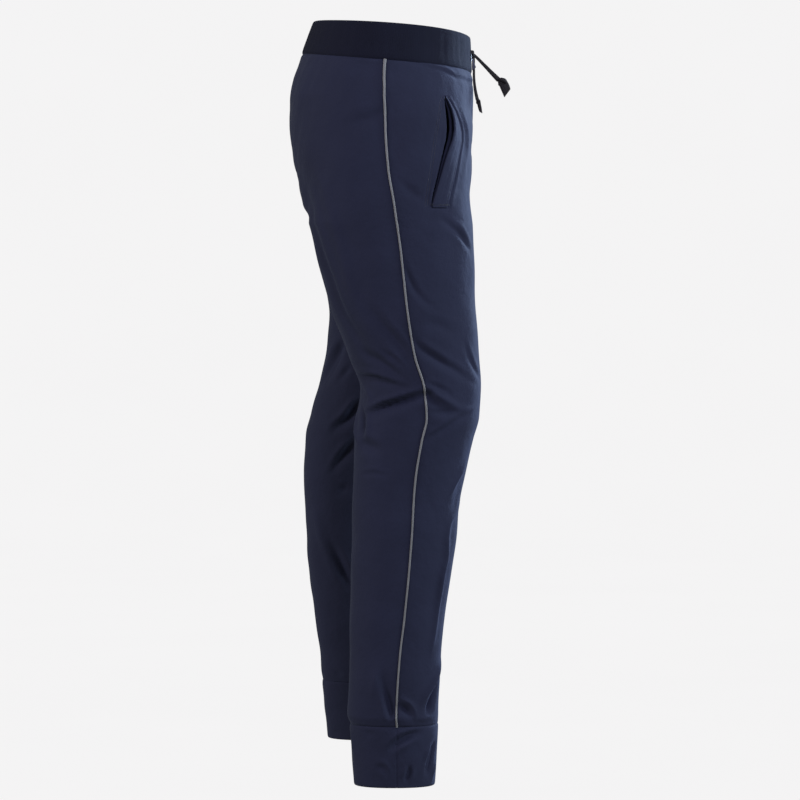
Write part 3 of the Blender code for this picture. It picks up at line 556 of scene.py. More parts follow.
def cloth(side, z, t):
    """The dressed outer face, creases and all, and its form's normal."""
    z, t = np.broadcast_arrays(np.asarray(z, float), np.asarray(t, float))
    to_waist, to_cuff = -BAND_HEIGHT / 2 - z, z - CUFF_SEAM_Z[side]
    calm = ease(to_waist / FOLD_FADE) * ease(to_cuff / 5.0 + 0.25)
    calm = calm * np.where(z < CROTCH_Z, 1.0, ease(np.minimum(t, 1 - t) / 0.06 + 0.1))
    press = bpy.context.scene.trousers_form.crease_depth * crease_depth(side, z, t) - undulation(side, z, t)
    roll_z = np.interp(t, WAIST_ROLL["t"], WAIST_ROLL["z"])
    in_front = ease((0.46 - t) / 0.06) * ease(t / 0.2)
    groove, roll = 1.5 * bump(z - roll_z, 3.2), 1.1 * bump(z - roll_z - 6.0, 4.0)
    depth = press * calm + in_front * (groove - roll)
    normal = outward(side, z, t)
    return bare(side, z, t) - depth[..., None] * normal, normal


# ---------------------------------------------------------------- seams on the form


def t_at_y(side, z, y, low, high):
    """The t between low and high where the outer face has this y."""
    low, high = np.full(np.shape(z), low), np.full(np.shape(z), high)
    for _ in range(30):
        middle = (low + high) / 2
        ahead = bare(side, z, middle)[..., 1] < y
        low, high = np.where(ahead, middle, low), np.where(ahead, high, middle)
    return (low + high) / 2


def side_seam_t(side, z):
    """The side seam's t at each height."""
    leg = LEGS[side]
    front = np.where(z > CROTCH_Z, -curve(TORSO, "front", z), curve(leg, "front", z))
    back = np.where(z > CROTCH_Z, curve(TORSO, "back", z), curve(leg, "back", z))
    return t_at_y(side, z, front + (back - front) * curve(SIDE_SEAM, "share", z), 0.3, 0.7)


def pocket_t(side, z):
    """The t of the straight line between the ends of the pocket's mouth."""
    share = (POCKET_TOP["z"] - z) / MOUTH_HEIGHT
    return t_at_y(side, z, POCKET_TOP["y"] + (POCKET_FOOT["y"] - POCKET_TOP["y"]) * share, 0.1, 0.5)


def graded(count, crowding):
    """Shares from 0 to 1, closer together at both ends."""
    share = np.linspace(0.0, 1.0, count + 1)
    return share - crowding * np.sin(2 * np.pi * share) / (2 * np.pi)


# ---------------------------------------------------------------- making meshes


class Weave:
    """Gathers grids of points, in millimetres, into one mesh with a map of the cloth in metres."""

    def __init__(self, side="left"):
        self.mirrored = side == "right"
        self.points, self.quads, self.corners, self.caps, self.cap_corners = [], [], [], [], []
        self.count = 0

    def add(self, points):
        """The grid's vertex numbers."""
        points = np.asarray(points, float)
        numbers = self.count + np.arange(points[..., 0].size).reshape(points.shape[:-1])
        self.points.append(points.reshape(-1, 3))
        self.count += numbers.size
        return numbers

    def grid(self, numbers, cloth_map, around=False, inside=False):
        """Quads over a whole grid, which closes on itself round its rows where around is set."""
        if around:
            numbers = np.concatenate((numbers, numbers[:, :1]), axis=1)
        quads, corners = (
            np.stack((each[:-1, :-1], each[1:, :-1], each[1:, 1:], each[:-1, 1:]), axis=2)
            for each in (numbers, cloth_map)
        )
        quads, corners = quads.reshape(-1, 4), corners.reshape(-1, 4, 2)
        if inside != self.mirrored:
            quads, corners = quads[:, ::-1], corners[:, ::-1]
        self.quads.append(quads)
        self.corners.append(corners)

    def cap(self, ring, inside=False):
        """A face over a ring of vertex numbers that runs as a grid's row does."""
        ring = list(map(int, ring))
        if inside != self.mirrored:
            ring = ring[::-1]
        self.caps.append(ring)
        self.cap_corners.append(np.zeros((len(ring), 2)))

    def tube(self, rings, across, down, closed=False, inside=True):
        """A tube from its rings, which is closed on itself or has a face at each end. Across and down are
        what its columns and its rings measure, for the cloth's map."""
        numbers = self.add(rings)
        if closed:
            numbers = np.concatenate((numbers, numbers[:1]))
        cloth_map = np.stack(np.broadcast_arrays(across[None, :], down[:, None]), axis=-1)
        self.grid(numbers, cloth_map, around=True, inside=inside)
        if not closed:
            self.cap(numbers[0], inside=False)
            self.cap(numbers[-1], inside=True)

    def make(self, name, material):
        points = np.concatenate(self.points) * MM
        if self.mirrored:
            points[:, 0] *= -1
        quads = np.concatenate(self.quads)
        corners = [np.concatenate(self.corners).reshape(-1, 2), *self.cap_corners]
        mesh = bpy.data.meshes.new(name)
        mesh.from_pydata(points.tolist(), [], quads.tolist() + self.caps)
        flat = (np.concatenate(corners) * MM).astype(np.float32)
        mesh.uv_layers.new(name="cloth").data.foreach_set("uv", flat.ravel())
        mesh.materials.append(material)
        mesh.shade_smooth()
        mesh.update()
        return place_in_scene(name, mesh)


def place_in_scene(name, data):
    """A new object at the origin."""
    thing = bpy.data.objects.new(name, data)
    bpy.context.scene.collection.objects.link(thing)
    return thing


def travelled(line):
    """How far along a line each of its points lies."""
    return np.concatenate(([0.0], np.cumsum(np.linalg.norm(np.diff(line, axis=0), axis=-1))))


def lengths_along(points, axis):
    """How far each point of a grid is from the grid's start, along one axis."""
    step = np.linalg.norm(np.diff(points, axis=axis), axis=-1)
    start = np.zeros_like(step[:, :1] if axis == 1 else step[:1])
    return np.concatenate((start, np.cumsum(step, axis=axis)), axis=axis)


def cloth_map_of(points):
    """A grid's map: how far across and how far down the cloth each point lies, in millimetres."""
    across, down = lengths_along(points, 1), lengths_along(points, 0)
    middle = across[:, across.shape[1] // 2 : across.shape[1] // 2 + 1]
    level = np.broadcast_to(down.mean(axis=1, keepdims=True), down.shape)
    return np.stack((across - middle, -level), axis=-1)


def sweep(weave, line, section_of, up, closed=False):
    """A tube along a line. Its section at point k has (across, high) points, turning anticlockwise seen
    from the tube's end, and up is the direction that high points in."""
    line = np.asarray(line, float)
    if closed:
        along = np.roll(line, -1, axis=0) - np.roll(line, 1, axis=0)
    else:
        along = np.gradient(line, axis=0)
    along = unit(along)
    up = np.broadcast_to(np.asarray(up, float), line.shape)
    across = unit(np.cross(up, along))
    high = np.cross(along, across)
    rings = []
    for k in range(len(line)):
        section = np.array(section_of(k), float)
        rings.append(line[k] + section[:, :1] * across[k] + section[:, 1:] * high[k])
    rings = np.array(rings)
    middle = rings[len(rings) // 2]
    v = travelled(line)
    if closed:
        v = np.append(v, v[-1] + np.linalg.norm(line[0] - line[-1]))
    weave.tube(rings, travelled(np.concatenate((middle, middle[:1]))), v, closed)


def oval(half_width, half_thick, corners=12, square=1.0):
    """A rounded flat section: square under 1 makes it boxier."""
    turns = [2 * math.pi * k / corners for k in range(corners)]
    return [
        (
            half_width * math.copysign(abs(math.cos(a)) ** square, math.cos(a)),
            half_thick * math.copysign(abs(math.sin(a)) ** square, math.sin(a)),
        )
        for a in turns
    ]


def settle(piece, slot, *nodes):
    """The finished piece rides on the part's one body and stands for its nodes, which are hidden."""
    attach(piece, "root")
    if nodes:
        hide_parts(*nodes)
    return piece


def surface_area(piece):
    """Half the area of a closed shell, in square metres: the cloth's own."""
    return sum(face.area for face in piece.data.polygons) / 2


# ---------------------------------------------------------------- materials


class Value:
    """A number that changes over a surface. Arithmetic on it adds Math nodes."""

    def __init__(self, shader, socket):
        self.shader, self.socket = shader, socket

    def math(self, operation, *others, clamp=False):
        settings = {"operation": operation, "use_clamp": clamp}
        return self.shader.node("ShaderNodeMath", settings, {0: self, **dict(enumerate(others, 1))})

    def clamped(self):
        return self.math("MULTIPLY", 1.0, clamp=True)

    def __add__(self, other):
        return self.math("ADD", other)

    __radd__ = __add__

    def __mul__(self, other):
        return self.math("MULTIPLY", other)

    __rmul__ = __mul__

    def __sub__(self, other):
        return self.math("SUBTRACT", other)

    def __rsub__(self, other):
        return self.math("MULTIPLY", -1.0).math("ADD", other)


class Shader:
    """A material's node tree: a Principled surface whose inputs are set or linked by name."""

    def __init__(self, name, **constants):
        self.material = bpy.data.materials.new(name)
        self.material.use_nodes = True
        self.tree = self.material.node_tree
        self.surface = self.tree.nodes["Principled BSDF"]
        self.set(**constants)

    def set(self, **values):
        """Sets or links the surface's inputs. A word's underscores are its spaces."""
        for word, value in values.items():
            self.feed(self.surface.inputs[word.replace("_", " ")], value)

    def feed(self, socket, value):
        if isinstance(value, Value):
            self.tree.links.new(value.socket, socket)
        else:
            socket.default_value = value

    def node(self, kind, settings=None, inputs=None, output=0):
        """A new node with its settings made first, then its inputs, as the value of one of its outputs."""
        node = self.tree.nodes.new(kind)
        for word, value in (settings or {}).items():
            setattr(node, word, value)
        for key, value in (inputs or {}).items():
            self.feed(node.inputs[key], value)
        return Value(self, node.outputs[output])

    def coordinates(self, scale=(1.0, 1.0, 1.0), cloth_map=False, turn=0.0):
        """Object coordinates or the cloth's own map, in metres, scaled and turned."""
        if cloth_map:
            place = self.node("ShaderNodeUVMap", {"uv_map": "cloth"})
        else:
            place = self.node("ShaderNodeTexCoord", output="Object")
        inputs = {"Vector": place, "Scale": scale, "Rotation": (0, 0, turn)}
        return self.node("ShaderNodeMapping", None, inputs)

    def noise(self, size, detail=3.0, rough=0.5, cloth_map=False, stretch=(1.0, 1.0, 1.0)):
        """Noise whose grain is about this many metres."""
        place = self.coordinates(tuple(s / size for s in stretch), cloth_map)
        inputs = {"Vector": place, "Scale": 1.0, "Detail": detail, "Roughness": rough}
        return self.node("ShaderNodeTexNoise", None, inputs)

    def waves(self, pitch, axis, turn=0.0):
        """A sine along the cloth's own map, one wave in each pitch."""
        place = self.coordinates((2 * math.pi / pitch,) * 3, cloth_map=True, turn=turn)
        part = self.node("ShaderNodeSeparateXYZ", None, {0: place}, output=axis)
        return part.math("SINE")

    def mix(self, share, first, second):
        """One colour turning into another as share goes from 0 to 1."""
        return self.node(
            "ShaderNodeMix",
            {"data_type": "RGBA", "clamp_factor": True},
            {0: share, 6: (*first, 1.0), 7: (*second, 1.0)},
            output=2,
        )

    def tint(self, share, colour, low, high):
        """A surface that turns from a darker shade of its colour into a lighter one with share."""
        dark, light = tuple(c * low for c in colour), tuple(c * high for c in colour)
        self.set(Base_Color=self.mix(share, dark, light))

    def dent(self, height, depth, strength=1.0):
        """Feeds a height, 0 to 1, to the surface's normal: depth is what 1 measures, in metres."""
        inputs = {"Strength": strength, "Distance": depth, "Height": height}
        self.set(Normal=self.node("ShaderNodeBump", None, inputs))


ACROSS, DOWN = 0, 1  # the two ways of the cloth's map


def navy_cloth(colour):
    """Light plain weave: fine crossed threads, slubs, a soft nap that catches edge light."""
    sheen = bpy.context.scene.trousers_finish.sheen
    shader = Shader("navy cloth", Roughness=0.78, Specular_IOR_Level=0.07, Sheen_Roughness=0.42)
    shader.set(Sheen_Weight=sheen, Sheen_Tint=(0.45, 0.55, 1.0, 1.0))
    across, down = shader.waves(0.00095, ACROSS), shader.waves(0.00075, DOWN)
    threads = across * down * 0.5 + 0.5
    slub = shader.noise(0.0016, detail=3.0, rough=0.6, cloth_map=True, stretch=(1.0, 0.35, 1.0))
    mottle = shader.noise(0.05, detail=4.0, rough=0.55)
    shader.tint((mottle * 0.75 + slub * 0.25 + threads * 0.12 - 0.06).clamped(), colour, 0.82, 1.16)
    shader.set(Roughness=mottle * 0.1 + 0.74)
    ripple = shader.noise(0.018, detail=4.0, rough=0.55)
    shader.dent(threads * 0.03 + slub * 0.05 + ripple, depth=0.0026, strength=0.55)
    return shader.material


def waist_rib(colour):
    """Elastic rib: a darker, denser knit, its loops in short columns."""
    shader = Shader("waist rib", Roughness=0.85, Specular_IOR_Level=0.05)
    shader.set(Sheen_Weight=0.03, Sheen_Roughness=0.5, Sheen_Tint=(0.5, 0.55, 0.9, 1.0))
    loops = (shader.waves(0.0012, ACROSS) * shader.waves(0.0009, DOWN)) * 0.5 + 0.5
    wear = shader.noise(0.02, detail=4.0, rough=0.6)
    shader.tint((wear * 0.8 + loops * 0.2).clamped(), colour, 0.78, 1.2)
    shader.set(Roughness=wear * 0.12 + 0.78)
    shader.dent(loops * 0.7 + wear * 0.3, depth=0.0002, strength=0.6)
    return shader.material


def pocket_lining(colour):
    """Plain lining. Its colour is the lining's own, made much darker than the cloth's as painted shade for
    the inside of the pocket's mouth.
    """
    shader = Shader("pocket lining", Roughness=0.9, Specular_IOR_Level=0.02)
    threads = shader.waves(0.0009, ACROSS) * shader.waves(0.0009, DOWN) * 0.5 + 0.5
    patches = shader.noise(0.03)
    shader.tint(patches, colour, 0.7, 1.2)
    shader.dent(threads, depth=0.0001, strength=0.6)
    return shader.material


def reflective_cord(colour):
    """Grey retroreflective tape folded round a cord: a fine even grain of glass beads, faint cross ribs."""
    shader = Shader("reflective cord", Metallic=0.1, Specular_IOR_Level=0.2)
    beads = shader.noise(0.0005, detail=2.0, rough=0.7)
    ribs = shader.waves(0.0011, DOWN) * 0.5 + 0.5
    wear = shader.noise(0.012, detail=4.0, rough=0.6)
    shader.tint((beads * 0.45 + wear * 0.45 + ribs * 0.1).clamped(), colour, 0.72, 1.25)
    shader.set(Roughness=beads * 0.25 + 0.3)
    shader.dent(ribs * 0.6 + beads * 0.4, depth=0.00018, strength=0.6)
    return shader.material


def flat_braid(colour):
    """Cotton braid: two diagonal sets of strands that cross."""
    shader = Shader("flat braid", Roughness=0.88, Specular_IOR_Level=0.04)
    shader.set(Sheen_Weight=0.05, Sheen_Roughness=0.4, Sheen_Tint=(0.8, 0.75, 0.85, 1.0))
    one, other = shader.waves(0.0019, DOWN, turn=0.7), shader.waves(0.0019, DOWN, turn=-0.7)
    strands = one.math("MAXIMUM", other) * 0.5 + 0.5
    fuzz = shader.noise(0.0009, detail=3.0, rough=0.7)
    shader.tint((strands * 0.7 + fuzz * 0.3).clamped(), colour, 0.6, 1.5)
    shader.set(Roughness=fuzz * 0.1 + 0.82)
    shader.dent(strands * 0.85 + fuzz * 0.15, depth=0.00035, strength=0.8)
    return shader.material


def loop_tape(colour):
    """The loop's flat tape, woven like the cloth."""
    shader = Shader("loop tape", Roughness=0.8, Specular_IOR_Level=0.05)
    shader.set(Sheen_Weight=0.05, Sheen_Roughness=0.4)
    twill = shader.waves(0.0011, DOWN, turn=0.8) * 0.5 + 0.5
    wear = shader.noise(0.004, detail=3.0, rough=0.6)
    shader.tint((twill * 0.4 + wear * 0.6).clamped(), colour, 0.75, 1.3)
    shader.dent(twill, depth=0.0002, strength=0.6)
    return shader.material


def black_metal(colour):
    """Black-plated brass, rubbed a little."""
    shader = Shader("black metal", Metallic=0.85, Specular_IOR_Level=0.5)
    rubbed = shader.noise(0.002, detail=4.0, rough=0.65)
    bright = tuple(min(1.0, c * 2.2 + 0.02) for c in colour)
    shader.set(Base_Color=shader.mix(rubbed, colour, bright))
    shader.set(Roughness=rubbed * 0.3 + 0.22)
    shader.dent(rubbed, depth=0.00004, strength=0.5)
    return shader.material


def sewing_thread(colour):
    """Twisted polyester thread."""
    shader = Shader("sewing thread", Roughness=0.5, Specular_IOR_Level=0.4, Sheen_Weight=0.2)
    twist = shader.noise(0.0006, detail=2.0, rough=0.6)
    shader.tint(twist, colour, 0.8, 1.3)
    shader.dent(twist, depth=0.0001, strength=0.5)
    return shader.material


def studio_paper(colour):
    """Pale background paper, which glows faintly and evenly, so it needs no lamp of its own."""
    shader = Shader("studio paper", Specular_IOR_Level=0.0, Emission_Strength=1.0)
    shader.set(Base_Color=(0.02, 0.02, 0.02, 1.0))
    grain = shader.noise(0.4, detail=3.0, rough=0.5)
    shader.set(Emission_Color=shader.mix(grain, tuple(c * 0.985 for c in colour), colour))
    return shader.material


COLOUR_OF = {
    navy_cloth: "cloth_colour",
    waist_rib: "rib_colour",
    pocket_lining: "lining_and_shade_colour",
    reflective_cord: "piping_colour",
    flat_braid: "cord_colour",
    loop_tape: "tape_colour",
    black_metal: "metal_colour",
    sewing_thread: "thread_colour",
    studio_paper: "paper_colour",
}


def finish_of(maker):
    """The maker's material, made from the sidebar's colour when it is first asked for."""
    made = bpy.data.materials.get(maker.__name__.replace("_", " "))
    return made or maker(tuple(getattr(bpy.context.scene.trousers_finish, COLOUR_OF[maker])))


# ---------------------------------------------------------------- stitches

STITCH = {"Spacing": 2.1, "Length": 1.9, "Thickness": 0.45}  # in millimetres


def stitch_tree(material):
    """Geometry Nodes: short rounded stitches laid end to end along a curve."""
    tree = bpy.data.node_groups.new("stitch row", "GeometryNodeTree")
    tree.is_modifier = True
    sockets = [("Geometry", "INPUT", "Geometry"), *((word, "INPUT", "Float") for word in STITCH)]
    for name, way, kind in (*sockets, ("Geometry", "OUTPUT", "Geometry")):
        tree.interface.new_socket(name=name, in_out=way, socket_type=f"NodeSocket{kind}")
    group_in, group_out = tree.nodes.new("NodeGroupInput"), tree.nodes.new("NodeGroupOutput")
    places = tree.nodes.new("GeometryNodeCurveToPoints")
    places.mode = "LENGTH"
    bead = tree.nodes.new("GeometryNodeMeshUVSphere")
    for word, value in (("Segments", 6), ("Rings", 4), ("Radius", 0.5)):
        bead.inputs[word].default_value = value
    size = tree.nodes.new("ShaderNodeCombineXYZ")
    instance = tree.nodes.new("GeometryNodeInstanceOnPoints")
    realize = tree.nodes.new("GeometryNodeRealizeInstances")
    paint = tree.nodes.new("GeometryNodeSetMaterial")
    paint.inputs["Material"].default_value = material
    for source, output, target, socket in (
        (group_in, "Geometry", places, "Curve"),
        (group_in, "Spacing", places, "Length"),
        (group_in, "Thickness", size, "X"),
        (group_in, "Thickness", size, "Y"),
        (group_in, "Length", size, "Z"),
        (places, "Points", instance, "Points"),
        (places, "Rotation", instance, "Rotation"),
        (bead, "Mesh", instance, "Instance"),
        (size, "Vector", instance, "Scale"),
        (instance, "Instances", realize, "Geometry"),
        (realize, "Geometry", paint, "Geometry"),
        (paint, "Geometry", group_out, "Geometry"),
    ):
        tree.links.new(source.outputs[output], target.inputs[socket])
    return tree


def stitch_rows(name, rows):
    """One mesh of stitches along several rows of points, in millimetres."""
    line = bpy.data.curves.new(name, "CURVE")
    line.dimensions = "3D"
    for row in rows:
        spline = line.splines.new("POLY")
        spline.points.add(len(row) - 1)
        for point, place in zip(spline.points, np.asarray(row) * MM):
            point.co = (*place, 1.0)
    guide = place_in_scene(name, line)
    tree = bpy.data.node_groups.get("stitch row") or stitch_tree(finish_of(sewing_thread))
    modifier = guide.modifiers.new("stitches", "NODES")
    modifier.node_group = tree
    for item in tree.interface.items_tree:
        if item.in_out == "INPUT" and item.name in STITCH:
            modifier[item.identifier] = STITCH[item.name] * MM
    evaluated = guide.evaluated_get(bpy.context.evaluated_depsgraph_get())
    mesh = bpy.data.meshes.new_from_object(evaluated)
    guide.modifiers.remove(modifier)
    bpy.data.objects.remove(guide)
    bpy.data.curves.remove(line)
    mesh.name = name
    mesh.shade_smooth()
    return place_in_scene(name, mesh)


# ---------------------------------------------------------------- panels


def panel_rows(side, count):
    """The heights of a panel's rows, from the waist seam to the cuff seam, closer together at both."""
    top, foot = -BAND_HEIGHT / 2 - 0.1, CUFF_SEAM_Z[side] + 0.1
    return top + (foot - top) * graded(count, crowding=0.55)


def mouth_rows(side):
    """The first and last panel row of the pocket's mouth, on the front panel."""
    heights = panel_rows(side, bpy.context.scene.trousers_form.rows)
    first = int(np.argmin(np.abs(heights - POCKET_TOP["z"])))
    last = int(np.argmin(np.abs(heights - POCKET_FOOT["z"])))
    return heights, first, last


def mouth_shape(share, widest=0.36):
    """0 at both ends of the mouth and 1 where it gapes most."""
    share = np.clip(share, 0.0, 1.0)
    return np.sin(np.pi * share ** (math.log(0.5) / math.log(widest))) ** 1.25


def seam_dip(points, normals, edges):
    """Turns a panel's edges in at its seams. Edges is how deep and how wide its first and last column
    dip."""
    across = lengths_along(points, 1)
    down = lengths_along(points, 0)
    (deep_a, wide_a), (deep_b, wide_b) = edges
    dip = deep_a * bump(across, wide_a) + deep_b * bump(across[:, -1:] - across, wide_b)
    dip = dip + 1.3 * bump(down, 2.2) + 0.7 * bump(down[-1:] - down, 1.4)
    return points - dip[..., None] * normals


def panel_mesh(name, side, front_part, front_in, back_part=None, back_in=None, mouth=None):
    """A panel's closed wall from its outer and inner points. A front panel comes in two parts, which
    share the column they meet in except along the pocket's mouth."""
    weave = Weave(side)
    parts = [(front_part, front_in)] + ([(back_part, back_in)] if back_part is not None else [])
    numbers = [(weave.add(outer), weave.add(inner)) for outer, inner in parts]
    maps = [cloth_map_of(outer) for outer, _ in parts]
    if mouth:
        first, last = mouth
        for leaf in (0, 1):
            joined = numbers[1][leaf]
            joined[: first + 1, 0] = numbers[0][leaf][: first + 1, -1]
            joined[last:, 0] = numbers[0][leaf][last:, -1]
        maps[1][..., 0] += maps[0][:, -1:, 0] - maps[1][:, :1, 0]
    for (outer, inner), cloth_map in zip(numbers, maps):
        weave.grid(outer, cloth_map)
        weave.grid(inner, cloth_map, inside=True)
        for row, flip in ((0, True), (-1, False)):
            edge = np.stack((outer[row], inner[row]))
            edge_map = np.stack((cloth_map[row], cloth_map[row]))
            weave.grid(edge, edge_map, inside=flip)

    def rim(outer, inner, cloth_map, flip):
        strip_map = np.stack((cloth_map, cloth_map), axis=1)
        weave.grid(np.stack((outer, inner), axis=1), strip_map, inside=flip)

    rim(numbers[0][0][:, 0], numbers[0][1][:, 0], maps[0][:, 0], True)
    rim(numbers[-1][0][:, -1], numbers[-1][1][:, -1], maps[-1][:, -1], False)
    if mouth:
        rows = slice(first, last + 1)
        rim(numbers[0][0][rows, -1], numbers[0][1][rows, -1], maps[0][rows, -1], False)
        rim(numbers[1][0][rows, 0], numbers[1][1][rows, 0], maps[1][rows, 0], True)
    piece = weave.make(name, finish_of(navy_cloth))
    drop_unused(piece)
    return piece


def drop_unused(piece):
    """Removes vertices that no face uses."""
    mesh = piece.data
    used = np.zeros(len(mesh.vertices), bool)
    corners = np.empty(len(mesh.loops), np.int32)
    mesh.loops.foreach_get("vertex_index", corners)
    used[corners] = True
    if used.all():
        return
    made = bmesh.new()
    made.from_mesh(mesh)
    made.verts.ensure_lookup_table()
    loose = [made.verts[int(k)] for k in np.flatnonzero(~used)]
    bmesh.ops.delete(made, geom=loose, context="VERTS")
    made.to_mesh(mesh)
    made.free()


def half_gap(points):
    """A half's points, moved off the middle plane by half a seam gap."""
    return points + np.array([SEAM_GAP / 2, 0.0, 0.0])


def front_panel(side):
    """The front's closed wall, with the pocket's mouth, the groove of its welt's seam and the dents of its
    stitches."""
    form = bpy.context.scene.trousers_form
    heights, first, last = mouth_rows(side)
    z = heights[:, None]
    seam = side_seam_t(side, heights)[:, None]
    bent = np.clip(z, POCKET_FOOT["z"], POCKET_TOP["z"])
    toward = ease(1 - np.abs(z - bent) / MOUTH_FADE)
    mouth = seam * PARTING + (pocket_t(side, bent[:, 0])[:, None] - seam * PARTING) * toward
    behind_it = mouth_edge("leg", z)
    is_open = (np.arange(len(z)) > first) & (np.arange(len(z)) < last)
    before_it = np.where(is_open[:, None], mouth_edge("welt", z), behind_it)
    ahead = int(form.columns * AHEAD_SHARE)
    middle_part = graded(ahead, crowding=0.45)[None, :] * mouth
    side_part = mouth + (seam - mouth) * graded(form.columns - ahead, crowding=0.5)[None, :]
    parts, t_of = [], []
    for t, edge, pull in ((middle_part, mouth, -before_it), (side_part, mouth, -behind_it)):
        around = speed(side, z, t)
        away = (t - edge) * around
        t = t + pull / around * np.exp(-np.abs(away) / MOUTH_PULL)
        points, normals = cloth(side, z, t)
        parts.append((half_gap(points), normals, away))
        t_of.append(t)
    (a, a_normals, a_away), (b, b_normals, b_away) = parts
    open_here = ease((before_it - behind_it) / 2.0)
    lip = 0.8 * bump(b_away, 1.1) - 0.9 * bump(b_away - 3.0, 2.4)
    b = b - (open_here * lip)[..., None] * b_normals
    a = a - (open_here * 1.2 * bump(a_away, 6.0))[..., None] * a_normals
    sewn = mouth_place(side, heights)
    beside_mouth = ease((POCKET_TOP["z"] + 4 - z) / 4) * ease((z - POCKET_FOOT["z"] + 4) / 4)
    from_seam = (t_of[0] - sewn["seam"][:, None]) * sewn["around"][:, None]
    groove = beside_mouth * (2.4 * bump(from_seam + 1.3, 1.9) - 1.0 * bump(from_seam + 6.0, 3.2))
    across_foot = ease((from_seam + 4.0) / 3.0) * ease((sewn["wide"][:, None] + 3.0 - from_seam) / 3.0)
    groove = groove + 2.4 * across_foot * bump(z - POCKET_FOOT["z"] + 2.0, 1.7)
    a = a - groove[..., None] * a_normals
    behind_line = (t_of[1] - sewn["edge"][:, None]) * sewn["around"][:, None]
    rows_of_stitches = sum(bump(behind_line - row, 1.1) for row in STITCH_ROWS)
    b = b - (0.6 * beside_mouth * rows_of_stitches)[..., None] * b_normals
    whole = np.concatenate((a, b[:, 1:]), axis=1)
    whole_normals = np.concatenate((a_normals, b_normals[:, 1:]), axis=1)
    dipped = seam_dip(whole, whole_normals, ((0.9, 1.7), (0.8, 1.7)))
    a_outer = dipped[:, : ahead + 1]
    b_outer = np.concatenate((b[:, :1], dipped[:, ahead + 1 :]), axis=1)
    b_outer[~is_open, 0] = a_outer[~is_open, -1]
    wall = form.cloth_thickness / MM + WALL_EXTRA
    a_inner = whole[:, : ahead + 1] - wall * a_normals
    b_inner = b - wall * b_normals
    b_inner[~is_open, 0] = a_inner[~is_open, -1]
    parts = (a_outer, a_inner, b_outer, b_inner)
    piece = panel_mesh(f"front_{side}_cloth", side, *parts, mouth=(first, last))
    return settle(piece, "cloth", f"front_{side}")


def back_panel(side):
    """The back's closed wall, seat and back of the leg in one."""
    form = bpy.context.scene.trousers_form
    heights = panel_rows(side, form.rows)
    z = heights[:, None]
    seam = side_seam_t(side, heights)[:, None]
    t = seam + (1.0 - seam) * graded(form.columns, crowding=0.35)[None, :]
    points, normals = cloth(side, z, t)
    points = half_gap(points)
    outer = seam_dip(points, normals, ((1.2, 2.1), (0.9, 1.7)))
    inner = points - (form.cloth_thickness / MM + WALL_EXTRA) * normals
    piece = panel_mesh(f"back_{side}_cloth", side, outer, inner)
    return settle(piece, "cloth", f"back_{side}")


# ---------------------------------------------------------------- pockets


def mouth_edge(which, z):
    """How far one of the mouth's edges lies ahead of the line between its ends, in millimetres."""
    return np.interp(-z, -np.array(MOUTH["z"], float), MOUTH[which])


def mouth_place(side, z):
    """Round the pocket at each height: the t of the line between the mouth's ends, of the welt's free edge
    and of its seam, the welt's width, and how many millimetres a turn of t measures."""
    edge = pocket_t(side, np.clip(z, POCKET_FOOT["z"], POCKET_TOP["z"]))
    around = speed(side, z, edge)
    lip = edge - mouth_edge("welt", z) / around
    wide = np.interp(-z, -np.array(WELT["z"], float), WELT["wide"])
    return {"edge": edge, "lip": lip, "seam": lip - wide / around, "wide": wide, "around": around}


# The welt's section: share of its width from the free edge, distance more, height, share of the gape.
WELT_SECTION = (
    (1.00, 0.0, 0.1, 0.0), (0.80, 0.0, 0.1, 0.02), (0.60, 0.0, 0.1, 0.2), (0.30, 0.0, 0.1, 0.6),
    (0.00, 2.2, 0.1, 1.0), (0.00, 0.8, 0.2, 1.0), (0.00, 0.15, 0.6, 1.0), (0.00, 0.0, 1.1, 1.0),
    (0.00, 0.2, 1.65, 1.0), (0.00, 0.8, 2.1, 1.0), (0.00, 1.9, 2.35, 0.97), (0.05, 2.3, 2.3, 0.9),
    (0.25, 0.8, 2.2, 0.72), (0.38, 0.0, 2.15, 0.54), (0.46, 0.0, 1.7, 0.44), (0.54, 0.0, 2.1, 0.34),
    (0.70, 0.0, 2.0, 0.14), (0.80, 0.0, 1.9, 0.04), (0.86, 0.0, 1.15, 0.0), (0.91, 0.0, 1.4, 0.0),
    (0.97, 0.0, 1.2, 0.0), (1.00, 0.0, 0.5, 0.0),
)


def pocket_welt(side):
    """The folded strip, sewn down along its front edge and gaping at its free edge."""
    form = bpy.context.scene.trousers_form
    z = np.linspace(POCKET_TOP["z"] + WELT_PAST, POCKET_FOOT["z"] - WELT_PAST, 96)
    place = mouth_place(side, z)
    stand = form.welt_stand / MM * mouth_shape((POCKET_TOP["z"] - z) / MOUTH_HEIGHT)
    taper = ease((np.arange(len(z)) + 1) / 4) * ease((len(z) - np.arange(len(z))) / 4)
    rows = []
    narrow = np.minimum(place["wide"] / 14, 1.0)
    for share, more, high, gaping in WELT_SECTION:
        t = place["lip"] - (share * place["wide"] + more * narrow) / place["around"]
        points, normals = cloth(side, z, t)
        height = 0.25 + high * (0.35 + 0.65 * taper) + gaping * stand
        rows.append(points + height[:, None] * normals)
    grid = np.stack(rows, axis=1)
    weave = Weave(side)
    widest, crown = grid[60], grid[:, 12]
    weave.tube(grid, -travelled(np.concatenate((widest, widest[:1]))), -travelled(crown))
    piece = weave.make(f"pocket_welt_{side}_cloth", finish_of(navy_cloth))
    return settle(piece, "cloth", f"pocket_welt_{side}")


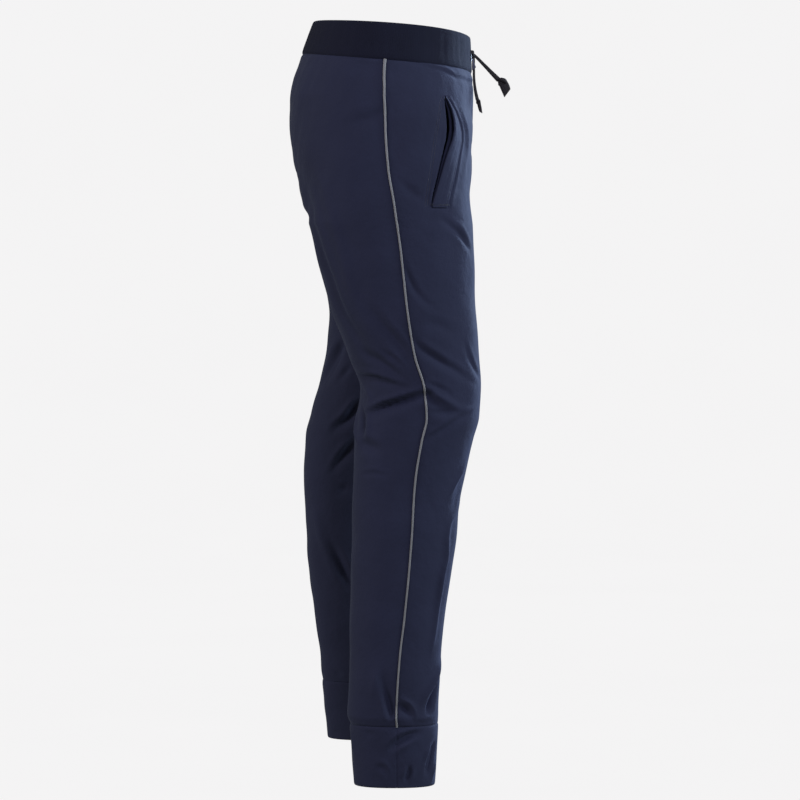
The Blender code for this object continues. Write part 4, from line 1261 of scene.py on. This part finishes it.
def pocket_bag(side):
    """The pocket's one ply, sewn round its edge to the inside of the front panel."""
    z = np.linspace(POCKET_TOP["z"] + BAG["above"], POCKET_FOOT["z"] - BAG["below"], 70)[:, None]
    middle = pocket_t(side, np.clip(z[:, 0], POCKET_FOOT["z"], POCKET_TOP["z"]))[:, None]
    wide = np.linspace(-BAG["ahead"], BAG["behind"], 48)[None, :]
    t = middle + wide / speed(side, z, middle)
    points, normals = cloth(side, z, t)
    points = half_gap(points)
    down = np.linspace(0.0, np.pi, points.shape[0])[:, None]
    across = np.linspace(0.0, np.pi, points.shape[1])[None, :]
    belly = BAG_BELLY * np.abs(np.sin(down) * np.sin(across)) ** 0.6
    belly = belly + 0.7 * np.sin(across * 9) * np.sin(down) * np.sin(across)
    near = points - (2.2 + belly)[..., None] * normals
    piece = panel_mesh(f"pocket_bag_{side}_ply", side, near, near - BAG_PLY * normals)
    piece.data.materials.clear()
    # the lining's dark colour is partly painted shade for the inside of the mouth
    piece.data.materials.append(finish_of(pocket_lining))
    return settle(piece, "pocket_lining", f"pocket_bag_{side}")


def pocket_stitches(side):
    """The rows behind the mouth, the row along the welt's seam and the bars that close its ends."""
    z = np.linspace(POCKET_TOP["z"] + 1.0, POCKET_FOOT["z"] - 1.0, 90)
    place = mouth_place(side, z)
    mirror = np.array([1.0 if side == "left" else -1.0, 1.0, 1.0])

    def row(heights, t, lifted):
        points, normals = cloth(side, heights, t)
        return (half_gap(points) + np.asarray(lifted)[..., None] * normals) * mirror

    rows = [row(z, place["edge"] + behind / place["around"], -0.25) for behind in STITCH_ROWS]
    rows.append(row(z, place["lip"] - WELT_SEAM_SHARE * place["wide"] / place["around"], 1.35))
    for k, steps in ((1, (0.0, -0.9)), (-2, (-0.9, 0.0, 0.9))):
        ahead = np.linspace(-3.0, place["wide"][k] + 0.5, 26)
        across, lifted = place["lip"][k] - ahead / place["around"][k], np.where(ahead < 0, 0.2, 2.0)
        rows += [row(z[k] + step, across, lifted) for step in steps]
    piece = stitch_rows(f"pocket_stitches_{side}", rows)
    return settle(piece, "cloth")


# ---------------------------------------------------------------- piping


def piping(side):
    """The corded edge on the side seam: a round cord in folded tape, sewn in between the panels."""
    form = bpy.context.scene.trousers_form
    z = panel_rows(side, 360)
    seam = side_seam_t(side, z)
    points, normals = cloth(side, z, seam)
    points = half_gap(points)
    wide, high = form.piping_width / MM / 2, 2.2
    profile = ((1.0, -0.7), (1.0, 0.2), (0.93, 0.62), (0.7, 0.9), (0.36, 1.0), (0.0, 1.03))
    section = [(x * wide, y * high) for x, y in profile]
    section += [(-x, y) for x, y in reversed(section[:-1])]

    def section_at(k):
        swell = float(np.interp(-z[k], (25, 120, 300, 460, 900), (1.06, 0.84, 0.78, 0.78, 0.70)))
        swell += 0.2 * float(bump((z[0] - z[k]) - 2.0, 3.0))
        sway = 1.0 + 0.035 * math.sin(z[k] / 3.1) + 0.03 * math.sin(z[k] / 7.7 + 1.0)
        return [(x * swell * sway, y * swell) for x, y in section]

    weave = Weave(side)
    sweep(weave, points, section_at, normals)
    piece = weave.make(f"piping_{side}_cord", finish_of(reflective_cord))
    return settle(piece, "reflective_piping", f"piping_{side}")


# ---------------------------------------------------------------- waistband and cuffs


def band_line(z, count):
    """Points evenly round the waist at one level, from the middle front over the wearer's left."""
    t = np.linspace(0.0, 1.0, 600)
    left = bare("left", np.full(t.shape, z), t)
    ring = np.concatenate((left, left[-2:0:-1] * (-1.0, 1.0, 1.0), left[:1]))
    along = travelled(ring)
    at = np.linspace(0.0, along[-1], count + 1)[:-1]
    return np.stack([np.interp(at, along, ring[:, k]) for k in range(3)], axis=-1), along[-1]


def level_normals(points):
    """Outward and level, round a ring."""
    around = np.roll(points, -1, axis=0) - np.roll(points, 1, axis=0)
    return unit(np.stack((around[:, 1], -around[:, 0], np.zeros(len(points))), axis=-1))


def closed_wall(weave, rings, girth, down=False):
    """A closed wall from rings that go along its outside, over its edge and back along its inside."""
    grid = np.array(rings)
    v = lengths_along(np.concatenate((grid, grid[:1])), 0).mean(axis=1)
    u = np.linspace(0.0, girth, grid.shape[1] + 1)
    weave.tube(grid, u, -v if down else v, closed=True, inside=not down)


# The waistband's section: height, how far it stands out, share of the ribs.
BAND_SECTION = (
    (-26.2, -1.6, 0.6), (-24.9, -0.9, 1.0), (-23.6, -0.1, 1.0), (-21.5, 0.45, 1.0),
    (-17.0, 0.7, 1.0), (-11.0, 0.7, 1.0), (-5.0, 0.65, 1.0), (1.0, 0.65, 1.0),
    (7.0, 0.7, 1.0), (13.0, 0.7, 1.0), (19.0, 0.65, 1.0), (23.4, 0.6, 1.0),
    (24.7, 0.35, 1.0), (25.2, -0.3, 0.7), (25.25, -1.6, 0.5), (24.9, -2.6, 0.5),
    (23.2, -3.1, 0.4), (10.0, -3.0, 0.4), (-10.0, -3.0, 0.4), (-24.0, -3.0, 0.4),
    (-26.4, -2.6, 0.3),
)


def waistband():
    """The ribbed elastic band, folded over at its top."""
    form = bpy.context.scene.trousers_form
    girth = band_line(0.0, 8)[1]
    ribs = round(girth * MM / form.rib_pitch)
    columns = 4 * ribs
    rib = np.tile((1.0, 0.0, -1.0, 0.0), ribs) * form.rib_height / MM / 2
    turn = np.arange(columns) / columns * 2 * np.pi
    sway = 0.12 * np.sin(turn * 23 + 1.0) + 0.1 * np.sin(turn * 37 + 2.2) + 0.08 * np.sin(turn * 61)
    rings = []
    for z, out, ribbed in BAND_SECTION:
        points, _ = band_line(z, columns)
        stand = out + ribbed * rib + sway * ease((z + 25) / 6) * ease((25.6 - z) / 4) * (out > -2)
        rings.append(points + stand[:, None] * level_normals(points))
    weave = Weave()
    closed_wall(weave, rings, girth)
    piece = weave.make("waistband_rib", finish_of(waist_rib))
    return settle(piece, "waist_rib", "waistband")


def cuff(side):
    """The ankle band: a folded tube of the same cloth, with its own seam under the side seam."""
    columns = 220
    turn = np.arange(columns) / columns
    top, hem = CUFF_SEAM_Z[side], HEM_Z[side]
    seam = float(side_seam_t(side, np.array(top)))
    rings = []
    # each ring's height, and how far it stands out
    outer = [(top - 0.1 - d, o) for d, o in ((-1.0, -1.6), (0.0, -0.6), (1.2, 0.1), (2.8, 0.3))]
    outer += [(z, 0.3) for z in np.linspace(top - 5.0, hem + 4.0, 38)]
    outer += [(hem + 1.8, 0.2), (hem + 0.6, -0.2), (hem + 0.08, -0.9), (hem, -1.6), (hem + 0.3, -2.5)]
    inner = [(hem + 2.0, -2.9), (hem + 20.0, -2.9), (top - 22.0, -2.9), (top - 3.0, -2.9), (top + 0.9, -2.7)]
    for z, out in outer + inner:
        level = np.full(columns, z)
        points = half_gap(bare(side, level, turn))
        folds = np.zeros(columns)
        if out > -2.0:
            calm = float(ease((top - z) / 7) * ease((z - hem) / 5 + 0.2))
            press = CUFF_PRESS * crease_depth(f"{side} cuff", level, turn)
            press = press - CUFF_WAVES * undulation(side, z * 1.3, turn)
            away = (turn - seam) * float(curve(GIRTH, "round", z))
            folds = press * calm + 0.9 * bump(away, 1.4) * ease((top - z) / 3)
        rings.append(points + (out - folds)[:, None] * level_normals(points))
    weave = Weave(side)
    girth = float(np.linalg.norm(np.diff(rings[20], axis=0), axis=1).sum())
    closed_wall(weave, rings, girth, down=True)
    piece = weave.make(f"cuff_{side}_cloth", finish_of(navy_cloth))
    return settle(piece, "cuff_cloth", f"cuff_{side}")


# ---------------------------------------------------------------- drawcord and eyelets

FORWARD, SIDEWAYS = (0.0, -1.0, 0.0), (1.0, 0.3, 0.1)  # which way a braid's flat face looks
LEFT_NARROWER = 0.72  # the left length is seen edge on
# The eyelet's section: how far from its middle, and how far out.
EYELET_SECTION = (
    (3.1, -0.6), (3.0, 0.1), (3.2, 0.75), (3.8, 1.15), (4.6, 1.05),
    (5.2, 0.6), (5.5, 0.0), (5.3, -0.4), (4.2, -0.7),
)


def knot_line(place, size, count=72):
    """A closed overhand knot round a place."""
    turn = np.arange(count) / count * 2 * np.pi
    shape = (
        (np.sin(turn) + 2 * np.sin(2 * turn)) / 3,
        np.sin(3 * turn),
        (np.cos(turn) - 2 * np.cos(2 * turn)) / 3,
    )
    return np.array(place) + np.stack(shape, axis=-1) * size


def braid(name, pieces, nodes):
    """One mesh of flat braid from several lines: (points, half width, half thickness, up, closed)."""
    weave = Weave()
    for line, wide, thick, up, closed in pieces:
        widths = np.broadcast_to(np.asarray(wide, float), (len(line),))
        thicks = np.broadcast_to(np.asarray(thick, float), (len(line),))
        sweep(weave, line, lambda k: oval(widths[k], thicks[k], 14, 0.8), up, closed)
    piece = weave.make(name, finish_of(flat_braid))
    return settle(piece, "drawcord", *nodes)


def flat_strip(weave, rear, fore, thick):
    """A strip between two edges, as thick as thick says at each of their points."""
    middle, half = (rear + fore) / 2, (fore - rear) / 2
    along = np.gradient(middle, axis=0)
    rings = []
    for k in range(len(middle)):
        out = unit(np.cross(half[k], along[k])) * thick[k]
        rings.append([middle[k] + half[k] * a + out * b for a, b in oval(1.0, 1.0, 16, 0.8)])
    weave.tube(np.array(rings), np.linspace(0, 18, 17), travelled(middle))


def strip_edges(shape, lean):
    """A strip's two edges as rows of points, evenly matched."""
    top = shape["rear"][0][1]
    rails = []
    for edge in ("rear", "fore"):
        places = [(shape["x"] + lean * (top - z), y, z) for y, z in shape[edge]]
        rails.append(smooth_route(places, CORD_STEP))
    count = min(len(rail) for rail in rails)
    return [rail[np.linspace(0, len(rail) - 1, count).round().astype(int)] for rail in rails]


def cord_end(name):
    """A knot at the end of a cord, and the frayed, slantwise cut tail below it."""
    end = CORD_ENDS[name]
    rear, fore = strip_edges(end, math.copysign(end["lean"], end["x"]))
    share = np.linspace(0.0, 1.0, len(rear))
    thick = np.interp(share, (0.0, 0.25, 0.55, 1.0), (1.6, 2.4, 1.5, 0.8))
    weave = Weave()
    flat_strip(weave, rear, fore, thick)
    knot = knot_line((end["x"], *end["knot"]), end["size"])
    section = oval(0.42 * end["size"][0], 0.34 * end["size"][0])
    sweep(weave, knot, lambda k: section, SIDEWAYS, closed=True)
    piece = weave.make(f"{name}_knot", finish_of(flat_braid))
    return settle(piece, "drawcord", name)


def loop_end():
    """The short flat end that hangs from the knot on the band."""
    rear, fore = strip_edges(LOOP, LOOP["lean"])
    weave = Weave()
    flat_strip(weave, rear, fore, np.full(len(rear), 0.7))
    piece = weave.make("drawcord_loop_tape", finish_of(loop_tape))
    return settle(piece, "drawcord", "drawcord_loop")


def drawcord():
    """The drawcord: the ties and the knot on the band, two hanging lengths, and their knotted ends."""
    ends = {name: cord_end(name) for name in CORD_ENDS}
    for name, route in CORD_ROUTES.items():
        line = smooth_route((*CORD_STARTS[name], *route), CORD_STEP)
        share = np.linspace(0.0, 1.0, len(line))
        width = CORD_WIDTH / 2 * np.interp(share, (0.0, 0.3, 0.7, 1.0), (0.6, 0.68, 0.88, 1.1))
        if name == "drawcord_left":
            width = width * LEFT_NARROWER
        braid(f"{name}_braid", [(line, width, CORD_THICK / 2, SIDEWAYS, False)], [name])
    ties = []
    for across in (-1, 1):
        line = smooth_route(np.array(TIE_ROUTE) * (across, 1, 1), 1.5)
        ties.append((line, CORD_WIDTH / 2 - 0.6, 1.0, FORWARD, False))
    knot = (knot_line(KNOT["place"], KNOT["size"]), *KNOT["cord"], FORWARD, True)
    tied = ["drawcord_tie_right", "drawcord_tie_left", "drawcord_knot"]
    on_band = braid("drawcord_bow", [*ties, knot], tied)
    loop = loop_end()
    for side in SIDES:
        name = f"drawcord_{side}"
        line = smooth_route((*CORD_STARTS[name], *CORD_ROUTES[name]), CORD_STEP) * MM
        [ends[f"cord_end_{side}"]] + ([on_band, loop] if side == "right" else [])


def eyelet(side):
    """A rolled metal ring round the hole that the drawcord comes out of."""
    low, high = (Vector(corner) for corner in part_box(f"eyelet_{side}"))
    middle = np.array((low + high) / 2) / MM
    middle[0] = abs(middle[0])
    ring, _ = band_line(EYELET_Z, 720)
    nearest = int(np.argmin(np.linalg.norm(ring - middle, axis=1)))
    outwards = level_normals(ring)[nearest]
    beside = np.array((-outwards[1], outwards[0], 0.0))
    above = np.array((0.0, 0.0, 1.0))
    seat = ring[nearest] + outwards * EYELET_STAND
    rings = []
    for turn in np.linspace(0.0, 2 * np.pi, 57)[:-1]:
        spoke = beside * math.cos(turn) + above * math.sin(turn)
        rings.append([seat + spoke * wide + outwards * high for wide, high in EYELET_SECTION])
    weave = Weave(side)
    u, v = np.arange(len(EYELET_SECTION) + 1) * 1.0, np.arange(len(rings) + 1) * 0.5
    weave.tube(np.array(rings), u, v, closed=True, inside=False)
    piece = weave.make(f"eyelet_{side}_ring", finish_of(black_metal))
    return settle(piece, "eyelet_metal", f"eyelet_{side}")


# ---------------------------------------------------------------- studio

LIT_MIDDLE = (0.0, 0.0, -0.45)
LAMPS = (  # name, place, size, the setting that holds its power, colour
    ("key", (-0.9, -3.8, 1.5), (1.0, 1.8), "key_power", (0.85, 1.0, 1.0)),
    ("front side", (-3.6, -1.6, 1.6), (1.4, 1.4), "side_power", (0.78, 0.77, 1.0)),
    ("rim", (3.4, -3.2, 1.2), (1.0, 1.8), "rim_power", (0.55, 0.72, 1.0)),
    ("back fill", (-1.2, 3.6, 1.0), (1.0, 1.8), "fill_power", (1.0, 0.95, 1.0)),
)
SKY_COLOUR = (0.95, 0.97, 0.82, 1.0)
PAPER = {"radius": 7000.0, "bend": 2200.0, "height": 5200.0, "floor_rings": (20.0, 1500.0, 3500.0)}


def aim(thing, target):
    """Turns an object's -Z axis towards a point."""
    direction = Vector(target) - thing.location
    thing.rotation_euler = direction.to_track_quat("-Z", "Y").to_euler()


def camera():
    """The photograph's view, from the wearer's right and slightly above."""
    view = bpy.context.scene.trousers_stage
    lens = bpy.data.cameras.new("camera")
    lens.sensor_width = 36.0
    lens.lens = view.lens
    lens.clip_start, lens.clip_end = 0.05, 60.0
    thing = place_in_scene("camera", lens)
    thing.location = view.camera_place
    tilt = view.camera_tilt
    aim(thing, thing.location + Vector((math.cos(tilt), 0.0, -math.sin(tilt))))
    bpy.context.scene.camera = thing


def soft_light(name, place, size, power, colour):
    """A lamp with a large face, aimed at the middle of the piece."""
    light = bpy.data.lights.new(name, "AREA")
    light.shape = "RECTANGLE"
    light.size, light.size_y = size
    light.energy = power
    light.color = colour
    thing = place_in_scene(name, light)
    thing.location = place
    aim(thing, LIT_MIDDLE)
    thing.visible_camera = False
    thing.light_linking.receiver_collection = unlit_paper()


def unlit_paper():
    """A collection that keeps the lamps off the paper, which glows evenly by itself."""
    name = "unlit paper"
    if name not in bpy.data.collections:
        group = bpy.data.collections.new(name)
        group.objects.link(bpy.data.objects["studio_paper"])
        group.collection_objects[0].light_linking.link_state = "EXCLUDE"
    return bpy.data.collections[name]


def backdrop():
    """A round sweep of pale paper: a floor that turns up into a wall all round."""
    floor_z = bpy.context.scene.trousers_stage.floor_height / MM
    wide, bend = PAPER["radius"], PAPER["bend"]
    angles = np.linspace(0.0, np.pi / 2, 24)
    profile = [(radius, floor_z) for radius in PAPER["floor_rings"]]
    profile += [(wide - bend + bend * math.sin(a), floor_z + bend * (1 - math.cos(a))) for a in angles]
    profile += [(wide, floor_z + PAPER["height"])]
    turns = np.linspace(0.0, 2 * np.pi, 145)[:-1]
    grid = np.array([[(r * math.cos(a), r * math.sin(a), z) for a in turns] for r, z in profile])
    weave = Weave()
    numbers = weave.add(grid)
    flat = np.zeros((len(profile), len(turns) + 1, 2))
    weave.grid(numbers, flat, around=True, inside=False)
    weave.cap(numbers[0], inside=True)
    thing = weave.make("studio_paper", finish_of(studio_paper))
    thing.visible_diffuse = thing.visible_glossy = thing.visible_shadow = False


def studio_lights():
    """The four lamps, and the even light of the sky."""
    look = bpy.context.scene.trousers_stage
    for name, place, size, power, colour in LAMPS:
        soft_light(name, place, size, getattr(look, power), colour)
    scene = bpy.context.scene
    scene.world = bpy.data.worlds.new("studio")
    scene.world.use_nodes = True
    sky = scene.world.node_tree.nodes["Background"]
    sky.inputs["Color"].default_value = SKY_COLOUR
    sky.inputs["Strength"].default_value = look.sky_strength
    scene.view_settings.view_transform = "Standard"


# ---------------------------------------------------------------- settings shown in the sidebar


def length_setting(name, description, value):
    return bpy.props.FloatProperty(
        name=name, description=description, default=value, subtype="DISTANCE", unit="LENGTH", precision=4
    )


def colour_setting(name, description, value):
    return bpy.props.FloatVectorProperty(
        name=name, description=description, default=value, subtype="COLOR", size=3, min=0.0, max=1.0
    )


def number_setting(name, description, value):
    return bpy.props.FloatProperty(name=name, description=description, default=value, min=0.0)


class TrousersForm(bpy.types.PropertyGroup):
    """Sizes of the cloth and its trims."""

    cloth_thickness: length_setting("Cloth thickness", "How thick the cloth's wall is", 0.0012)
    welt_stand: length_setting("Welt stand", "How far the welt's free edge stands off the leg", 0.0050)
    piping_width: length_setting("Piping width", "Width of the reflective cord in the side seam", 0.0036)
    rib_pitch: length_setting("Rib pitch", "From one rib of the waistband to the next", 0.0024)
    rib_height: length_setting("Rib height", "How far a rib stands out of its groove", 0.00022)
    crease_depth: number_setting("Crease depth", "How strongly the creases press in", 1.5)
    columns: bpy.props.IntProperty(name="Columns", description="Cells across each panel", default=110, min=20)
    rows: bpy.props.IntProperty(name="Rows", description="Cells down each panel", default=400, min=60)


class TrousersFinish(bpy.types.PropertyGroup):
    """Colours and sheen."""

    cloth_colour: colour_setting("Cloth", "Colour of the panels, welts and cuffs", (0.0185, 0.0208, 0.0450))
    rib_colour: colour_setting("Waistband", "Colour of the ribbed band", (0.0088, 0.0096, 0.0200))
    # the lining's colour is darker than its own, as painted shade seen through the pocket's mouth
    lining_and_shade_colour: colour_setting("Pocket lining", "Colour of the pocket bags", (0.0045, 0.005, 0.010))
    piping_colour: colour_setting("Piping", "Colour of the reflective cord", (0.16, 0.16, 0.18))
    cord_colour: colour_setting("Drawcord", "Colour of the flat braid", (0.022, 0.0200, 0.0235))
    tape_colour: colour_setting("Loop", "Colour of the drawcord's loop", (0.075, 0.075, 0.115))
    metal_colour: colour_setting("Eyelets", "Colour of the eyelets' plating", (0.02, 0.02, 0.022))
    thread_colour: colour_setting("Thread", "Colour of the stitches", (0.0095, 0.011, 0.026))
    paper_colour: colour_setting("Paper", "Colour of the floor and backdrop", (0.905, 0.900, 0.905))
    sheen: number_setting("Sheen", "How much the nap catches light at its edges", 0.07)


class TrousersStage(bpy.types.PropertyGroup):
    """Camera, lights and floor."""

    camera_place: bpy.props.FloatVectorProperty(
        name="Camera",
        description="Where the camera stands",
        default=(-4.2, -0.01376, -0.37733),
        subtype="XYZ",
        unit="LENGTH",
        precision=5,
    )
    camera_tilt: bpy.props.FloatProperty(
        name="Tilt", description="How far the camera looks down", default=math.radians(1.4), subtype="ANGLE"
    )
    lens: number_setting("Lens", "Focal length in millimetres", 136.997)
    floor_height: length_setting("Floor", "Height of the floor, just under the hems", -1.045)
    key_power: number_setting("Key", "Power of the light on the front, in watts", 130.0)
    side_power: number_setting("Front side", "Power of the light between front and side, in watts", 78.0)
    rim_power: number_setting("Rim", "Power of the light along the front's far edge, in watts", 360.0)
    fill_power: number_setting("Fill", "Power of the light on the seat, in watts", 75.0)
    sky_strength: number_setting("Sky", "Strength of the even light from all round", 0.38)


# ---------------------------------------------------------------- operators


class SetCamera(bpy.types.Operator):
    """Sets the camera at the photograph's view"""

    bl_idname = "trousers.set_camera"
    bl_label = "Camera"

    def execute(self, context):
        camera()
        return {"FINISHED"}


class MakeDrawcord(bpy.types.Operator):
    """Ties the drawcord, with its knots and hanging ends"""

    bl_idname = "trousers.make_drawcord"
    bl_label = "Drawcord"

    def execute(self, context):
        drawcord()
        for side in SIDES:
            eyelet(side)
        return {"FINISHED"}


class MakePanels(bpy.types.Operator):
    """Cuts and drapes the two front and two back panels"""

    bl_idname = "trousers.make_panels"
    bl_label = "Panels"

    def execute(self, context):
        for side in SIDES:
            for name, wide, long, piece in (
                ("front", 0.31, 0.92, front_panel(side)),
                ("back", 0.37, 0.96, back_panel(side)),
            ):
                cut = surface_area(piece)
                if not 0.3 * wide * long <= cut <= wide * long:
                    raise RuntimeError(f"the {name} panel's area {cut:.3f} doesn't fit its cut")
        return {"FINISHED"}


class MakePockets(bpy.types.Operator):
    """Makes the welts, the pocket bags and their stitches"""

    bl_idname = "trousers.make_pockets"
    bl_label = "Pockets"

    def execute(self, context):
        for side in SIDES:
            welt, bag = pocket_welt(side), pocket_bag(side)
            stitches = pocket_stitches(side)
        return {"FINISHED"}


class MakePiping(bpy.types.Operator):
    """Lays the reflective cord in both side seams"""

    bl_idname = "trousers.make_piping"
    bl_label = "Piping"

    def execute(self, context):
        for side in SIDES:
            piping(side)
        return {"FINISHED"}


class MakeWaistband(bpy.types.Operator):
    """Knits the ribbed elastic waistband"""

    bl_idname = "trousers.make_waistband"
    bl_label = "Waistband"

    def execute(self, context):
        band = waistband()
        return {"FINISHED"}


class MakeCuffs(bpy.types.Operator):
    """Makes the two ankle bands"""

    bl_idname = "trousers.make_cuffs"
    bl_label = "Cuffs"

    def execute(self, context):
        for side in SIDES:
            cuff(side)
        return {"FINISHED"}


class SetStage(bpy.types.Operator):
    """Sets up the pale paper sweep and the soft lights"""

    bl_idname = "trousers.set_stage"
    bl_label = "Studio"

    def execute(self, context):
        backdrop()
        studio_lights()
        return {"FINISHED"}


STEPS = (SetCamera, MakeDrawcord, MakePanels, MakePockets, MakePiping, MakeWaistband, MakeCuffs, SetStage)
SETTINGS = {"trousers_form": TrousersForm, "trousers_finish": TrousersFinish, "trousers_stage": TrousersStage}


class TrousersPanel(bpy.types.Panel):
    """The trousers' pieces and settings"""

    bl_idname = "VIEW3D_PT_trousers"
    bl_label = "Trousers"
    bl_space_type = "VIEW_3D"
    bl_region_type = "UI"
    bl_category = "Trousers"

    def draw(self, context):
        layout = self.layout
        for step in STEPS:
            layout.operator(step.bl_idname)
        for name in SETTINGS:
            box = layout.box()
            settings = getattr(context.scene, name)
            for key in settings.bl_rna.properties.keys():
                if key not in ("rna_type", "name"):
                    box.prop(settings, key)


def register():
    for item in (*SETTINGS.values(), *STEPS, TrousersPanel):
        bpy.utils.register_class(item)
    for name, group in SETTINGS.items():
        setattr(bpy.types.Scene, name, bpy.props.PointerProperty(type=group))


def unregister():
    for name in SETTINGS:
        delattr(bpy.types.Scene, name)
    for item in (TrousersPanel, *reversed(STEPS), *reversed(SETTINGS.values())):
        bpy.utils.unregister_class(item)


def main():
    register()
    for step in STEPS:
        group, name = step.bl_idname.split(".")
        getattr(getattr(bpy.ops, group), name)()


if __name__ == "__main__":
    main()
